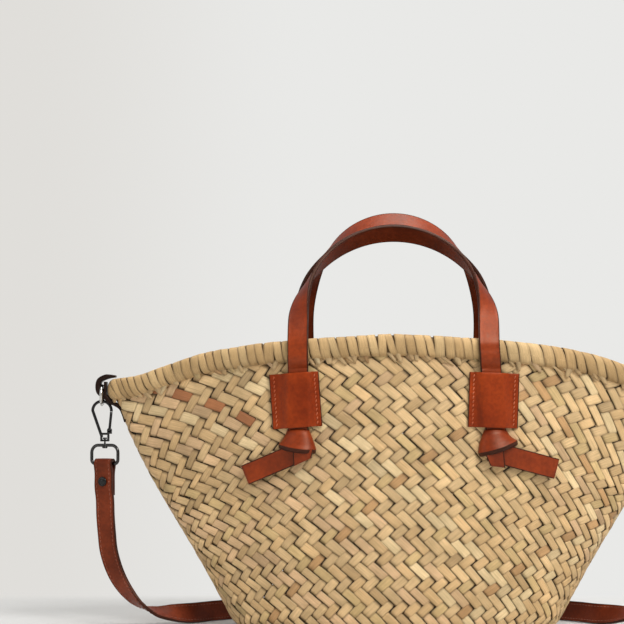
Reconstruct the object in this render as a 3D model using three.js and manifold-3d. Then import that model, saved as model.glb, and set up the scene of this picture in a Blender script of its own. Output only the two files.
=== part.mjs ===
// Straw basket bag with leather handles, a leather shoulder strap and two snap hooks.
// Millimetres, +Z up. X runs along the bag and -Y is its front. The origin is the middle of the base,
// on the floor.
import * as THREE from 'three';
import Module from 'manifold-3d';
import { mergeVertices } from 'three/addons/utils/BufferGeometryUtils.js';

const wasm = await Module();
wasm.setup();

// Driving dimensions of the basket
const wallThickness = 3;
const rimTopMiddle = 211.6; // top of the rim over the middle of the bag
const rimDrop = 31; // how much lower the rim lies at its two corners
const rimHalfLength = 206.2; // middle of the rim's roll at a corner, from the bag's middle
const rimHalfDepth = 58.5;
const rimCorner = 8; // radius of the mouth's pinched corners
const baseHalfLength = 116;
const baseHalfDepth = 50;
const baseCorner = 34;
const baseEdge = 7; // radius between base and wall
const rimTall = 16;
const rimThick = 11.5;
const seat = 0.3; // gap between pieces that lie on each other

// Driving dimensions of the handles and their patches
const handleWidth = 14.8;
const handleThickness = 3;
const handleHalfSpan = 67.9; // from the handle's middle to a leg
const handleMiddle = -1.1; // the handles stand a little left of the bag's middle
const handleArch = { front: 287, back: 298 }; // height of the strap's middle at the top
const handleMeet = 8; // strap's middle at the top, from the plane between the handles
const handleStart = 0.17; // share of the standing part that stays straight
const patchWidth = 35.8;
const patchTall = 39;
const patchThickness = 1.8;
const patchHeight = 164.1; // middle of a patch
const patchShoulder = 2.4; // width of each slope beside a patch's raised middle
const knotGap = 1.2; // between patch and knot
const knotTop = patchHeight - patchTall / 2 - knotGap;
const knotTall = 15.5;
const knotDepth = 9.5;
const tailBelow = 16.4; // from the knot's top down to the middle of the tail's start

// Driving dimensions of the hanging hardware and the shoulder strap
const loopWidth = 11;
const loopRingRadius = 7; // middle of the wire
const loopRingWire = 2.4;
const hookWire = 2.2;
const hookBow = 6.9; // radius of the hook's round top, middle of the wire
const hookArm = 19.5; // from the round top's centre down to the swivel block's middle
const blockWidth = 6.6;
const blockTall = 6.4;
const blockDepth = 4.4;
const blockFloor = 1.4; // under the block's window
const windowWidth = 3.8;
const windowTall = 3.4;
const swivelShift = 2.2; // the swivel lies nearer to the bag than the hook's round top
const studRadius = 0.6;
const headRadius = 1.5; // of the stud's head in the block's window
const headTall = 1.2;
const bossRadius = 1.9; // of the stud's foot round the strap ring
const gatePin = 1.2;
const gateEye = 1.5; // outer radius of the gate's eye
const gateEyeTall = 1.6;
const gateReach = 3.4; // from the swivel's axis to the gate's pin
const lugThickness = 1;
const lugRadius = 1.7;
const strapRingWidth = 25;
const strapRingTall = 16;
const strapRingWire = 2.4;
const strapWidth = 15;
const strapThickness = 2.5;
const strapTurn = THREE.MathUtils.degToRad(25); // of strap and strap ring, about the vertical
const strapSweep = 100; // how far behind the bag's middle the strap lies
const foldLength = 27; // doubled end below the strap ring
const rivetRadius = 3.5;
const rivetDome = 1.6;
const rivetShank = 1.4;
const rivetDrop = 13; // below the strap ring's bar

const colours = { straw: 0xcdac7a, leather: 0x963a1c, metal: 0x8b8a86 };
const strawFinish = { color: colours.straw, roughness: 0.8, metalness: 0 };
const leatherFinish = { color: colours.leather, roughness: 0.45, metalness: 0 };
const metalFinish = { color: colours.metal, roughness: 0.2, metalness: 1 };

// How far the rim has dropped, as a share of rimDrop, by its place as a share of the half length
const rimLineTable = [
  { at: 0, drop: 0 },
  { at: 0.38, drop: 0.15 },
  { at: 0.58, drop: 0.31 },
  { at: 0.7, drop: 0.47 },
  { at: 0.82, drop: 0.73 },
  { at: 0.9, drop: 0.9 },
  { at: 1, drop: 1 },
];

// Mouth's share in the plan's length, depth and corner radius, by height as a share of the rim's
const flareTable = [
  { at: 0, length: 0, depth: 0, corner: 0 },
  { at: 0.3, length: 0.31, depth: 0.45, corner: 0.35 },
  { at: 0.6, length: 0.645, depth: 0.75, corner: 0.7 },
  { at: 0.8, length: 0.84, depth: 0.89, corner: 0.87 },
  { at: 1, length: 1, depth: 1, corner: 1 },
];

// Roll of each handle's strap about its own line, in degrees, by height as a share of the standing part
const rollTable = [
  { at: 0, front: 0, back: 0 },
  { at: 0.17, front: 12, back: 6 },
  { at: 0.4, front: 45, back: 22 },
  { at: 0.55, front: 69, back: 40 },
  { at: 0.7, front: 84, back: 66 },
  { at: 0.85, front: 93, back: 88 },
  { at: 1, front: 102, back: 102 },
];

// The two ends of a handle: where the strap runs, how its patch is turned and how its knot and tail lie.
// Shifts are shares of the handle's width, turns are in degrees with the bag seen from its front.
const fastenings = [
  {
    name: 'left',
    side: -1,
    footShift: 0,
    patchShift: 0.125,
    patchTurn: 4,
    knotTurn: 2,
    tailDrop: 23,
    tailLength: 41.5,
    foldShift: 0.25,
  },
  {
    name: 'right',
    side: 1,
    footShift: 0.31,
    patchShift: 0.015,
    patchTurn: -2,
    knotTurn: 18,
    tailDrop: 15,
    tailLength: 45,
    foldShift: -0.03,
  },
];

// Knot sections from top to bottom: half width as a share of the handle's width, deep of the knot's depth
const knotTable = [
  { down: 0, half: 0.54, deep: 0.62 },
  { down: 0.14, half: 0.62, deep: 0.85 },
  { down: 0.5, half: 0.76, deep: 0.97 },
  { down: 0.84, half: 0.9, deep: 1 },
  { down: 1, half: 0.86, deep: 0.8 },
];

// Middle of the shoulder strap from below the rivet to behind the bag, for one side. across is a share of
// the swivel's distance from the middle, back of strapSweep, and up of the strap ring's height. face gives
// the direction from the strap's outer edge to the edge next to the bag.
const strapTable = [
  { across: 0.998, back: -0.012, up: 0.78, face: [0.91, -0.42, 0] },
  { across: 0.996, back: -0.014, up: 0.68, face: [0.91, -0.42, 0] },
  { across: 0.991, back: -0.016, up: 0.57, face: [0.9, -0.43, 0] },
  { across: 0.983, back: -0.02, up: 0.455, face: [0.87, -0.45, 0.1] },
  { across: 0.956, back: -0.03, up: 0.315, face: [0.76, -0.55, 0.28] },
  { across: 0.917, back: -0.035, up: 0.205, face: [0.5, -0.75, 0.4] },
  { across: 0.869, back: -0.03, up: 0.122, face: [0.2, -0.95, 0.2] },
  { across: 0.823, back: 0.01, up: 0.083, face: [0, -0.95, -0.25] },
  { across: 0.765, back: 0.08, up: 0.07, face: [-0.05, -0.75, -0.65] },
  { across: 0.705, back: 0.2, up: 0.064, face: [0, -0.4, -0.92] },
  { across: 0.64, back: 0.38, up: 0.063, face: [0, -0.15, -0.99] },
  { across: 0.54, back: 0.62, up: 0.063, face: [0, 0, -1] },
  { across: 0.38, back: 0.85, up: 0.063, face: [0, 0, -1] },
  { across: 0.19, back: 0.97, up: 0.063, face: [0, 0, -1] },
  { across: 0, back: 1, up: 0.063, face: [0, 0, -1] },
];

// Smooth value of a table's column at a place, through every row
function tableValue(table, column, at) {
  const last = table.length - 1;
  let row = 0;
  while (row < last - 1 && at > table[row + 1].at) {
    row += 1;
  }
  const slope = (i) => {
    const a = table[Math.max(i - 1, 0)];
    const b = table[Math.min(i + 1, last)];
    return (b[column] - a[column]) / (b.at - a.at);
  };
  const from = table[row];
  const to = table[row + 1];
  const step = to.at - from.at;
  const t = (at - from.at) / step;
  const t2 = t * t;
  const t3 = t2 * t;
  return (2 * t3 - 3 * t2 + 1) * from[column] + (t3 - 2 * t2 + t) * step * slope(row)
    + (3 * t2 - 2 * t3) * to[column] + (t3 - t2) * step * slope(row + 1);
}

// Closed body from a list of indexed corners, turned to face outwards
function closedBody(corners, triangles) {
  let volume = 0;
  for (const [a, b, c] of triangles) {
    volume += corners[a].dot(corners[b].clone().cross(corners[c]));
  }
  const geometry = new THREE.BufferGeometry().setFromPoints(corners);
  geometry.setIndex(triangles.flatMap(([a, b, c]) => (volume < 0 ? [a, c, b] : [a, b, c])));
  return geometry;
}

// Body through a row of sections with the same number of corners, closed by two caps or into a ring
function loft(sections, ring = false) {
  const around = sections[0].length;
  const corners = sections.flat();
  const triangles = [];
  const quad = (a, b, c, d) => triangles.push([a, b, c], [a, c, d]);
  const spans = ring ? sections.length : sections.length - 1;
  for (let i = 0; i < spans; i += 1) {
    const here = i * around;
    const next = ((i + 1) % sections.length) * around;
    for (let k = 0; k < around; k += 1) {
      const other = (k + 1) % around;
      quad(here + k, here + other, next + other, next + k);
    }
  }
  if (!ring) {
    const end = (sections.length - 1) * around;
    for (let k = 0; k < around / 2 - 1; k += 1) {
      quad(k, around - 1 - k, around - 2 - k, k + 1);
      quad(end + k, end + k + 1, end + around - 2 - k, end + around - 1 - k);
    }
  }
  return closedBody(corners, triangles);
}

function toManifold(geometry) {
  const plain = geometry.clone();
  plain.deleteAttribute('normal');
  plain.deleteAttribute('uv');
  const merged = mergeVertices(plain, 1e-4);
  return new wasm.Manifold(new wasm.Mesh({
    numProp: 3,
    vertProperties: new Float32Array(merged.attributes.position.array),
    triVerts: new Uint32Array(merged.index.array),
  }));
}

function fromManifold(body) {
  const mesh = body.getMesh();
  const geometry = new THREE.BufferGeometry();
  geometry.setAttribute('position', new THREE.BufferAttribute(mesh.vertProperties, 3));
  geometry.setIndex(new THREE.BufferAttribute(mesh.triVerts, 1));
  return geometry;
}

// One body from overlapping ones, less the bodies that cut it
function joined(geometries, cutters = []) {
  let body = toManifold(geometries[0]);
  for (const other of geometries.slice(1)) {
    body = body.add(toManifold(other));
  }
  for (const cutter of cutters) {
    body = body.subtract(toManifold(cutter));
  }
  return fromManifold(body);
}

// Strap along a row of middles, with the direction across its width at each of them
function strapBody(middles, acrosses, width, thickness) {
  const sections = middles.map((middle, i) => {
    const before = middles[Math.max(i - 1, 0)];
    const after = middles[Math.min(i + 1, middles.length - 1)];
    const along = after.clone().sub(before).normalize();
    const across = acrosses[i].clone().addScaledVector(along, -acrosses[i].dot(along)).normalize();
    const through = across.clone().cross(along);
    return [[-1, -1], [1, -1], [1, 1], [-1, 1]].map(([w, t]) => middle.clone()
      .addScaledVector(across, w * width / 2)
      .addScaledVector(through, t * thickness / 2));
  });
  return loft(sections);
}

// Round wire along a row of middles that lie in a plane with the given normal
function wireBody(middles, radius, planeNormal, ring = false, sides = 6) {
  const count = middles.length;
  const sections = middles.map((middle, i) => {
    const before = ring ? middles[(i + count - 1) % count] : middles[Math.max(i - 1, 0)];
    const after = ring ? middles[(i + 1) % count] : middles[Math.min(i + 1, count - 1)];
    const along = after.clone().sub(before).normalize();
    const out = along.clone().cross(planeNormal).normalize();
    return Array.from({ length: sides }, (_, k) => {
      const angle = (2 * Math.PI * (k + 0.5)) / sides;
      return middle.clone()
        .addScaledVector(planeNormal, radius * Math.cos(angle))
        .addScaledVector(out, radius * Math.sin(angle));
    });
  });
  return loft(sections, ring);
}

// Height of the middle of the rim's roll, by place along the half length
function rimLine(share) {
  const drop = tableValue(rimLineTable, 'drop', Math.min(Math.abs(share), 1));
  return rimTopMiddle - rimTall / 2 - rimDrop * drop;
}

const wallTopShare = 1 - (rimTall / 2 + seat) / rimLine(0);

// Wall's height at a place along the half length
function wallTop(share) {
  return rimLine(share) - rimTall / 2 - seat;
}

// Plan of the wall's outside at a height, as a share of the rim's
function planAt(level) {
  const mix = (column, base, mouth) => base + (mouth - base) * tableValue(flareTable, column, level);
  return {
    halfLength: mix('length', baseHalfLength, rimHalfLength + wallThickness / 2),
    halfDepth: mix('depth', baseHalfDepth, rimHalfDepth + wallThickness / 2),
    corner: mix('corner', baseCorner, rimCorner),
  };
}

function inset(plan, by) {
  return { halfLength: plan.halfLength - by, halfDepth: plan.halfDepth - by, corner: plan.corner - by };
}

// Radius of the plan's two long arcs, which meet the corner arcs smoothly
function longRadius({ halfLength, halfDepth, corner }) {
  return ((halfLength - corner) ** 2 + halfDepth ** 2 - corner ** 2) / (2 * (halfDepth - corner));
}

// Points round a plan of two long arcs and two corner arcs, with their outward directions
function planPoints(plan, longSteps = 21, cornerSteps = 7) {
  const radius = longRadius(plan);
  const cornerMiddle = plan.halfLength - plan.corner;
  const reach = Math.atan2(cornerMiddle, radius - plan.halfDepth);
  const points = [];
  const arc = (centre, size, from, to, steps) => {
    for (let i = 0; i < steps; i += 1) {
      const angle = from + ((to - from) * i) / steps;
      const out = new THREE.Vector2(Math.sin(angle), -Math.cos(angle));
      points.push({ point: centre.clone().addScaledVector(out, size), out });
    }
  };
  const half = Math.PI;
  arc(new THREE.Vector2(0, radius - plan.halfDepth), radius, -reach, reach, longSteps);
  arc(new THREE.Vector2(cornerMiddle, 0), plan.corner, reach, half - reach, cornerSteps);
  arc(new THREE.Vector2(0, plan.halfDepth - radius), radius, half - reach, half + reach, longSteps);
  arc(new THREE.Vector2(-cornerMiddle, 0), plan.corner, half + reach, 2 * half - reach, cornerSteps);
  return points;
}

// Distance of the wall's outside from the middle plane, at a place along the bag and a height
function wallDepth(x, height) {
  let plan = planAt(0.5);
  for (let i = 0; i < 4; i += 1) {
    plan = planAt((height / wallTop(x / plan.halfLength)) * wallTopShare);
  }
  const radius = longRadius(plan);
  return Math.sqrt(radius ** 2 - x ** 2) - (radius - plan.halfDepth);
}

// The same for the middle of the rim's roll
function rimDepth(x) {
  const plan = inset(planAt(1), wallThickness / 2);
  const radius = longRadius(plan);
  return Math.sqrt(radius ** 2 - x ** 2) - (radius - plan.halfDepth);
}

function basketBody() {
  const ring = (level, by, lift) => {
    const plan = inset(planAt(level * wallTopShare), by);
    return planPoints(plan).map(({ point }) => {
      const top = wallTop(point.x / plan.halfLength);
      return new THREE.Vector3(point.x, point.y, lift + level * (top - lift));
    });
  };
  const sections = [];
  const edgeSteps = 3;
  for (let i = 0; i < edgeSteps; i += 1) {
    const angle = (Math.PI / 2) * (i / edgeSteps);
    const height = baseEdge * (1 - Math.cos(angle));
    const by = baseEdge * (1 - Math.sin(angle));
    sections.push(ring(0, by, height));
  }
  const levels = 8;
  const first = baseEdge / wallTop(0);
  for (let i = 0; i <= levels; i += 1) {
    sections.push(ring(first + ((1 - first) * i) / levels, 0, 0));
  }
  const floorEdge = baseEdge - wallThickness;
  const firstInside = floorEdge / (wallTop(0) - wallThickness);
  for (let i = levels; i >= 0; i -= 1) {
    sections.push(ring(firstInside + ((1 - firstInside) * i) / levels, wallThickness, wallThickness));
  }
  sections.push(ring(0, baseEdge, wallThickness));
  return loft(sections);
}

function rimBody() {
  const plan = inset(planAt(1), wallThickness / 2);
  const sides = 10;
  const squareness = 0.8; // below 1 the section is fuller than an ellipse
  const sections = planPoints(plan).map(({ point, out }) => Array.from({ length: sides }, (_, k) => {
    const angle = (2 * Math.PI * k) / sides;
    const bulge = (value) => Math.sign(value) * Math.abs(value) ** squareness;
    const away = (rimThick / 2) * bulge(Math.cos(angle));
    const up = (rimTall / 2) * bulge(Math.sin(angle));
    const height = rimLine(point.x / plan.halfLength) + up;
    return new THREE.Vector3(point.x + out.x * away, point.y + out.y * away, height);
  }));
  return loft(sections, true);
}

// A direction in the bag's front plane, bent to lie on a surface whose distance from the middle is given
function lyingOn(depthAt, way, x, height, sign) {
  const step = 1;
  const ahead = depthAt(x + way.x * step, height + way.z * step);
  const behind = depthAt(x - way.x * step, height - way.z * step);
  return new THREE.Vector3(way.x, (sign * (ahead - behind)) / (2 * step), way.z).normalize();
}

// Distance of the strap's middle from the middle plane where it lies on the wall
function strapOnWall(x, height) {
  return wallDepth(x, height) + 2 * seat + handleThickness / 2;
}

// Place of a handle's strap at a leg, from the knot up to the rim
function legX(fastening, height) {
  const toFoot = (rimLine(0) - height) / (rimLine(0) - knotTop);
  const aside = fastening.footShift * handleWidth * Math.max(toFoot, 0);
  return handleMiddle + fastening.side * (handleHalfSpan + aside);
}

// Patch over a strap: two sewn flanges on the wall and a raised middle that lets the strap through
function patchBody(fastening, front) {
  const turn = THREE.MathUtils.degToRad(fastening.patchTurn);
  const centreX = legX(fastening, patchHeight) + fastening.side * fastening.patchShift * handleWidth;
  const clear = handleWidth / 2 + 3 * seat;
  const rise = handleThickness + 5 * seat;
  const edge = patchWidth / 2;
  const rows = 5;
  const sections = [];
  for (let i = 0; i <= rows; i += 1) {
    const v = patchTall * (i / rows - 0.5);
    const overStrap = (legX(fastening, patchHeight + v) - centreX + v * Math.sin(turn)) / Math.cos(turn);
    const foot = clear + patchShoulder;
    const slopes = [-foot, -clear, -clear / 2, 0, clear / 2, clear, foot];
    const stations = [-edge, ...slopes.map((u) => overStrap + u), edge];
    const point = (u, extra) => {
      const z = patchHeight + u * Math.sin(turn) + v * Math.cos(turn);
      const x = centreX + u * Math.cos(turn) - v * Math.sin(turn);
      const aside = Math.abs(u - overStrap);
      const lift = rise * THREE.MathUtils.clamp((foot - aside) / patchShoulder, 0, 1);
      const depth = wallDepth(x, z) + seat + lift + extra;
      return new THREE.Vector3(x, (front ? -1 : 1) * depth, z);
    };
    const outside = stations.map((u) => point(u, patchThickness));
    const inside = stations.map((u) => point(u, 0)).reverse();
    sections.push([...outside, ...inside]);
  }
  return loft(sections);
}

// Knot under a patch, with the strap's cut end leaving it sideways and the fold that shows below it
function knotBodies(fastening, front) {
  const side = fastening.side;
  const sign = front ? -1 : 1;
  const middle = new THREE.Vector2(legX(fastening, knotTop), knotTop - knotTall / 2);
  const turn = THREE.MathUtils.degToRad(fastening.knotTurn);
  const place = (u, v, down) => (
    new THREE.Vector2(u, v).rotateAround(new THREE.Vector2(), turn * down).add(middle)
  );
  const barrel = knotTable.map(({ down, half, deep }) => {
    const v = knotTall * (0.5 - down);
    const reach = half * handleWidth;
    const inner = 2 * seat;
    const outer = inner + deep * knotDepth;
    const corner = 0.3;
    const outline = [[-1, corner], [-1 + corner, 0], [1 - corner, 0], [1, corner],
      [1, 1 - corner], [1 - corner, 1], [-1 + corner, 1], [-1, 1 - corner]];
    return outline.map(([u, d]) => {
      const at = place(u * reach, v, down);
      const depth = wallDepth(at.x, at.y) + inner + d * (outer - inner);
      return new THREE.Vector3(at.x, sign * depth, at.y);
    });
  });
  const drop = THREE.MathUtils.degToRad(fastening.tailDrop);
  const tailWay = new THREE.Vector2(side * Math.cos(drop), -Math.sin(drop));
  const tailAcross = new THREE.Vector3(-tailWay.y, 0, tailWay.x).multiplyScalar(side);
  const start = new THREE.Vector2(middle.x, knotTop - tailBelow);
  const tailSteps = 5;
  const tailMiddles = [];
  for (let i = 0; i <= tailSteps; i += 1) {
    const share = i / tailSteps;
    const at = start.clone().addScaledVector(tailWay, fastening.tailLength * share);
    const lift = handleThickness * (0.9 - 0.55 * Math.sin(Math.PI * share));
    tailMiddles.push(new THREE.Vector3(at.x, sign * (strapOnWall(at.x, at.y) + lift), at.y));
  }
  const foldMiddles = [0, 0.5, 1].map((share) => {
    const x = middle.x + fastening.foldShift * handleWidth;
    const z = middle.y - knotTall * (0.1 + 0.9 * share);
    return new THREE.Vector3(x, sign * (strapOnWall(x, z) + handleThickness * 0.7), z);
  });
  const foldAcross = new THREE.Vector3(1, 0, 0);
  const onWall = (way) => (at) => lyingOn(wallDepth, way, at.x, at.z, sign);
  return [
    loft(barrel),
    strapBody(tailMiddles, tailMiddles.map(onWall(tailAcross)), handleWidth, handleThickness),
    strapBody(foldMiddles, foldMiddles.map(onWall(foldAcross)), handleWidth * 0.95, handleThickness),
  ];
}

// Handle: one strap from knot to knot, flat on the wall, over the rim and turned edge-on into the arch
function handleBody(front) {
  const sign = front ? -1 : 1;
  const archTop = front ? handleArch.front : handleArch.back;
  const rimMiddle = rimLine(handleHalfSpan / rimHalfLength);
  const standTop = rimMiddle + rimTall / 2;
  const nearerLeg = handleHalfSpan - Math.abs(handleMiddle);
  const standY = rimDepth(nearerLeg) + rimThick / 2 + seat + handleThickness / 2;
  const lean = new THREE.Vector3(0, handleMeet - standY, archTop - standTop);
  const rise = lean.length();
  lean.normalize();
  const outward = new THREE.Vector3(0, lean.z, -lean.y);
  const points = [];
  const legAcross = (depthAt, fastening, x, z) => (
    lyingOn(depthAt, new THREE.Vector3(-fastening.side, 0, 0), x, z, 1)
  );
  const legPoints = (fastening) => {
    const low = knotTop - knotTall / 2;
    const high = patchHeight + patchTall / 2 + 3.5;
    const onWall = [0, 0.2, 0.4, 0.6, 0.8, 0.95, 1].map((share) => {
      const z = low + (high - low) * share;
      const x = legX(fastening, z);
      return { x, y: strapOnWall(x, z), z, across: legAcross(wallDepth, fastening, x, z) };
    });
    const onRim = [-0.32, 0, 0.32].map((share) => {
      const z = rimMiddle + share * rimTall;
      const x = legX(fastening, z);
      return { x, y: standY, z, across: legAcross(rimDepth, fastening, x, z) };
    });
    return [...onWall, ...onRim];
  };
  const [left, right] = fastenings;
  points.push(...legPoints(left));
  const archSteps = 26;
  for (let i = 0; i <= archSteps; i += 1) {
    const angle = (Math.PI * i) / archSteps;
    const share = handleStart + (1 - handleStart) * Math.sin(angle);
    const climb = Math.cos(angle) * (1 - handleStart) * rise;
    const inward = new THREE.Vector2(climb, -Math.sin(angle) * handleHalfSpan).normalize();
    const roll = THREE.MathUtils.degToRad(tableValue(rollTable, front ? 'front' : 'back', share));
    const across = new THREE.Vector3(1, 0, 0).multiplyScalar(inward.x * Math.cos(roll));
    across.addScaledVector(lean, inward.y * Math.cos(roll));
    across.addScaledVector(outward, Math.sin(roll));
    points.push({
      x: handleMiddle - handleHalfSpan * Math.cos(angle),
      y: standY + lean.y * rise * share,
      z: standTop + lean.z * rise * share,
      across,
    });
  }
  points.push(...legPoints(right).reverse());
  const middles = points.map(({ x, y, z }) => new THREE.Vector3(x, sign * y, z));
  const acrosses = points.map(({ across }) => new THREE.Vector3(across.x, sign * across.y, across.z));
  const smooth = new THREE.CatmullRomCurve3(middles, false, 'centripetal');
  const smoothAcross = new THREE.CatmullRomCurve3(acrosses, false, 'centripetal');
  const steps = 2 * (middles.length - 1);
  const fineMiddles = [];
  const fineAcrosses = [];
  for (let i = 0; i <= steps; i += 1) {
    fineMiddles.push(smooth.getPoint(i / steps));
    fineAcrosses.push(smoothAcross.getPoint(i / steps));
  }
  const strap = strapBody(fineMiddles, fineAcrosses, handleWidth, handleThickness);
  return joined([strap, ...knotBodies(left, front), ...knotBodies(right, front)]);
}

// Places of the hanging hardware on the right, from the leather loop down to the shoulder strap
const rimEnd = rimHalfLength + rimThick / 2;
const loopWall = 1.9; // leather between the rim's end and the ring
const hangX = rimEnd + seat + loopWall + seat + loopRingWire / 2 + 0.2;
const swivelX = hangX - swivelShift;
const loopRingZ = rimLine(1) - 4;
const bowZ = loopRingZ - loopRingRadius + loopRingWire / 2 + seat + hookWire / 2 - hookBow;
const blockZ = bowZ - hookArm;
const strapRingTop = blockZ - blockTall / 2 - 1.6;
const strapRingBar = strapRingTop - strapRingTall + strapRingWire / 2;

// Leather loop that wraps the rim's end and holds the ring, extruded across the bag
function sideLoopBody() {
  const inner = rimEnd + seat;
  const outer = hangX + loopRingWire / 2 + 0.5 + 2.6;
  const top = rimLine(1) + rimTall / 2 + seat;
  const bottom = rimLine(1) - rimTall / 2 - seat;
  const tongue = 6.5; // of the loop over and under the rim
  const shape = new THREE.Shape();
  shape.moveTo(inner - tongue, top + 0.9);
  shape.lineTo(inner - tongue, top + 3.1);
  shape.bezierCurveTo(inner - 1, top + 3.2, outer, top + 2.6, outer, top - 6);
  shape.bezierCurveTo(outer, top - 10, outer - 2, bottom + 3.5, hangX, bottom + 3.1);
  shape.lineTo(inner + loopWall, bottom + 3);
  shape.lineTo(inner + 0.3, bottom + 1.5);
  shape.lineTo(inner - 1.5, bottom + 0.1);
  shape.lineTo(inner - 4, bottom - 1.7);
  shape.lineTo(inner - tongue, bottom - 2.2);
  shape.lineTo(inner - tongue, bottom);
  shape.lineTo(inner - 4, bottom + 0.2);
  shape.lineTo(inner - 1.5, bottom + 2.1);
  shape.lineTo(inner, bottom + 4.2);
  shape.lineTo(inner, top - 3);
  shape.lineTo(inner - 1.6, top);
  const extruded = (outline, depth) => {
    const geometry = new THREE.ExtrudeGeometry(outline, { depth, bevelEnabled: false, curveSegments: 8 });
    geometry.translate(0, 0, -depth / 2);
    return geometry.rotateX(Math.PI / 2);
  };
  const hole = new THREE.Shape();
  const ringTop = loopRingZ + loopRingRadius;
  hole.absellipse(hangX, ringTop - 2.2, loopRingWire / 2 + 0.6, loopRingWire / 2 + 3.2, 0, 2 * Math.PI);
  return joined([extruded(shape, loopWidth)], [extruded(hole, loopWidth + 2)]);
}

function loopRingBody() {
  const geometry = new THREE.TorusGeometry(loopRingRadius, loopRingWire / 2, 6, 18);
  geometry.rotateY(Math.PI / 2);
  geometry.translate(hangX, 0, loopRingZ);
  return geometry;
}

// Pivot of the gate, on the side of the hook that faces the bag, and the end of the hook's wire above it
const pivot = { x: swivelX - gateReach, z: blockZ + blockTall / 2 + gateEye + seat };
const nose = { x: hangX - hookBow, z: bowZ - 0.8 };

function boxBody(width, depth, height, x, y, z) {
  const geometry = new THREE.BoxGeometry(width, depth, height);
  geometry.translate(x, y, z);
  return geometry;
}

function postBody(radius, length, axis, x, y, z, sides = 12) {
  const geometry = new THREE.CylinderGeometry(radius, radius, length, sides);
  if (axis === 'z') {
    geometry.rotateX(Math.PI / 2);
  }
  geometry.translate(x, y, z);
  return geometry;
}

// Hook: bow and outer arm of wire, a windowed block for the swivel and two lugs with a pin for the gate
function hookBody() {
  const across = new THREE.Vector3(0, 1, 0);
  const middles = [];
  middles.push(new THREE.Vector3(swivelX + blockWidth / 2 - hookWire / 2, 0, blockZ));
  const arcSteps = 12;
  for (let i = 0; i <= arcSteps; i += 1) {
    const angle = (Math.PI * i) / arcSteps;
    const aside = hookBow * Math.cos(angle);
    middles.push(new THREE.Vector3(hangX + aside, 0, bowZ + hookBow * Math.sin(angle)));
  }
  middles.push(new THREE.Vector3(nose.x, 0, nose.z));
  const lugs = [-1, 1].map((way) => lugBody(way * (blockDepth - lugThickness) / 2));
  const blockLow = blockZ - blockTall / 2;
  const windowZ = blockLow + blockFloor + windowTall / 2;
  return joined(
    [
      boxBody(blockWidth, blockDepth, blockTall, swivelX, 0, blockZ),
      wireBody(middles, hookWire / 2, across),
      ...lugs,
      postBody(gatePin / 2, blockDepth - lugThickness, 'y', pivot.x, 0, pivot.z),
    ],
    [
      boxBody(windowWidth, blockDepth + 2, windowTall, swivelX, 0, windowZ),
      postBody(studRadius + seat, 2 * blockFloor, 'z', swivelX, 0, blockLow + blockFloor / 2),
    ],
  );
}

// Ear of the hook that carries an end of the gate's pin
function lugBody(y) {
  const shape = new THREE.Shape();
  shape.absarc(pivot.x, pivot.z, lugRadius, 0, Math.PI, false);
  shape.lineTo(pivot.x - lugRadius, blockZ);
  shape.lineTo(pivot.x + lugRadius, blockZ);
  const options = { depth: lugThickness, bevelEnabled: false, curveSegments: 8 };
  const geometry = new THREE.ExtrudeGeometry(shape, options);
  geometry.rotateX(Math.PI / 2);
  geometry.translate(0, y + lugThickness / 2, 0);
  return geometry;
}

// Gate: a straight arm that closes the hook, with an eye round the pin
function gateBody() {
  const across = new THREE.Vector3(0, 1, 0);
  const top = new THREE.Vector3(nose.x + 0.05, 0, nose.z - seat);
  const foot = new THREE.Vector3(pivot.x, 0, pivot.z + 0.9);
  return joined(
    [
      wireBody([foot, top], hookWire / 2 - 0.1, across),
      postBody(gateEye, gateEyeTall, 'y', pivot.x, 0, pivot.z),
    ],
    [postBody(gatePin / 2 + seat / 2, 2 * gateEyeTall, 'y', pivot.x, 0, pivot.z)],
  );
}

// Ring of the shoulder strap: a rounded rectangle of wire with the swivel's stud through its top
function strapRingBody() {
  const topRound = 5.5;
  const lowRound = 3;
  const halfWidth = (strapRingWidth - strapRingWire) / 2;
  const halfTall = (strapRingTall - strapRingWire) / 2;
  const centre = strapRingTop - strapRingTall / 2;
  const normal = new THREE.Vector3(0, 1, 0);
  const middles = [];
  const corners = [[1, 1, 0], [-1, 1, 1], [-1, -1, 2], [1, -1, 3]];
  const cornerSteps = 4;
  for (const [sx, sz, quarter] of corners) {
    const size = sz > 0 ? topRound : lowRound;
    for (let i = 0; i <= cornerSteps; i += 1) {
      const angle = (Math.PI / 2) * (quarter + i / cornerSteps);
      const x = sx * (halfWidth - size) + size * Math.cos(angle);
      const z = sz * (halfTall - size) + size * Math.sin(angle);
      middles.push(new THREE.Vector3(x, 0, z));
    }
  }
  const ring = wireBody(middles, strapRingWire / 2, normal, true);
  ring.rotateZ(strapTurn);
  ring.translate(swivelX, 0, centre);
  const bar = strapRingTop - strapRingWire / 2;
  const headZ = blockZ - blockTall / 2 + blockFloor + seat + headTall / 2;
  return joined([
    ring,
    postBody(studRadius, headZ - bar, 'z', swivelX, 0, (headZ + bar) / 2),
    postBody(headRadius, headTall, 'z', swivelX, 0, headZ),
    postBody(bossRadius, strapRingWire, 'z', swivelX, 0, bar - 1),
  ]);
}

const fold = strapRingWire / 2 + seat + strapThickness / 2; // radius of the strap's middle round the bar
const outFace = new THREE.Vector3(Math.sin(strapTurn), -Math.cos(strapTurn), 0);
const rivetZ = strapRingBar - rivetDrop;

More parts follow.
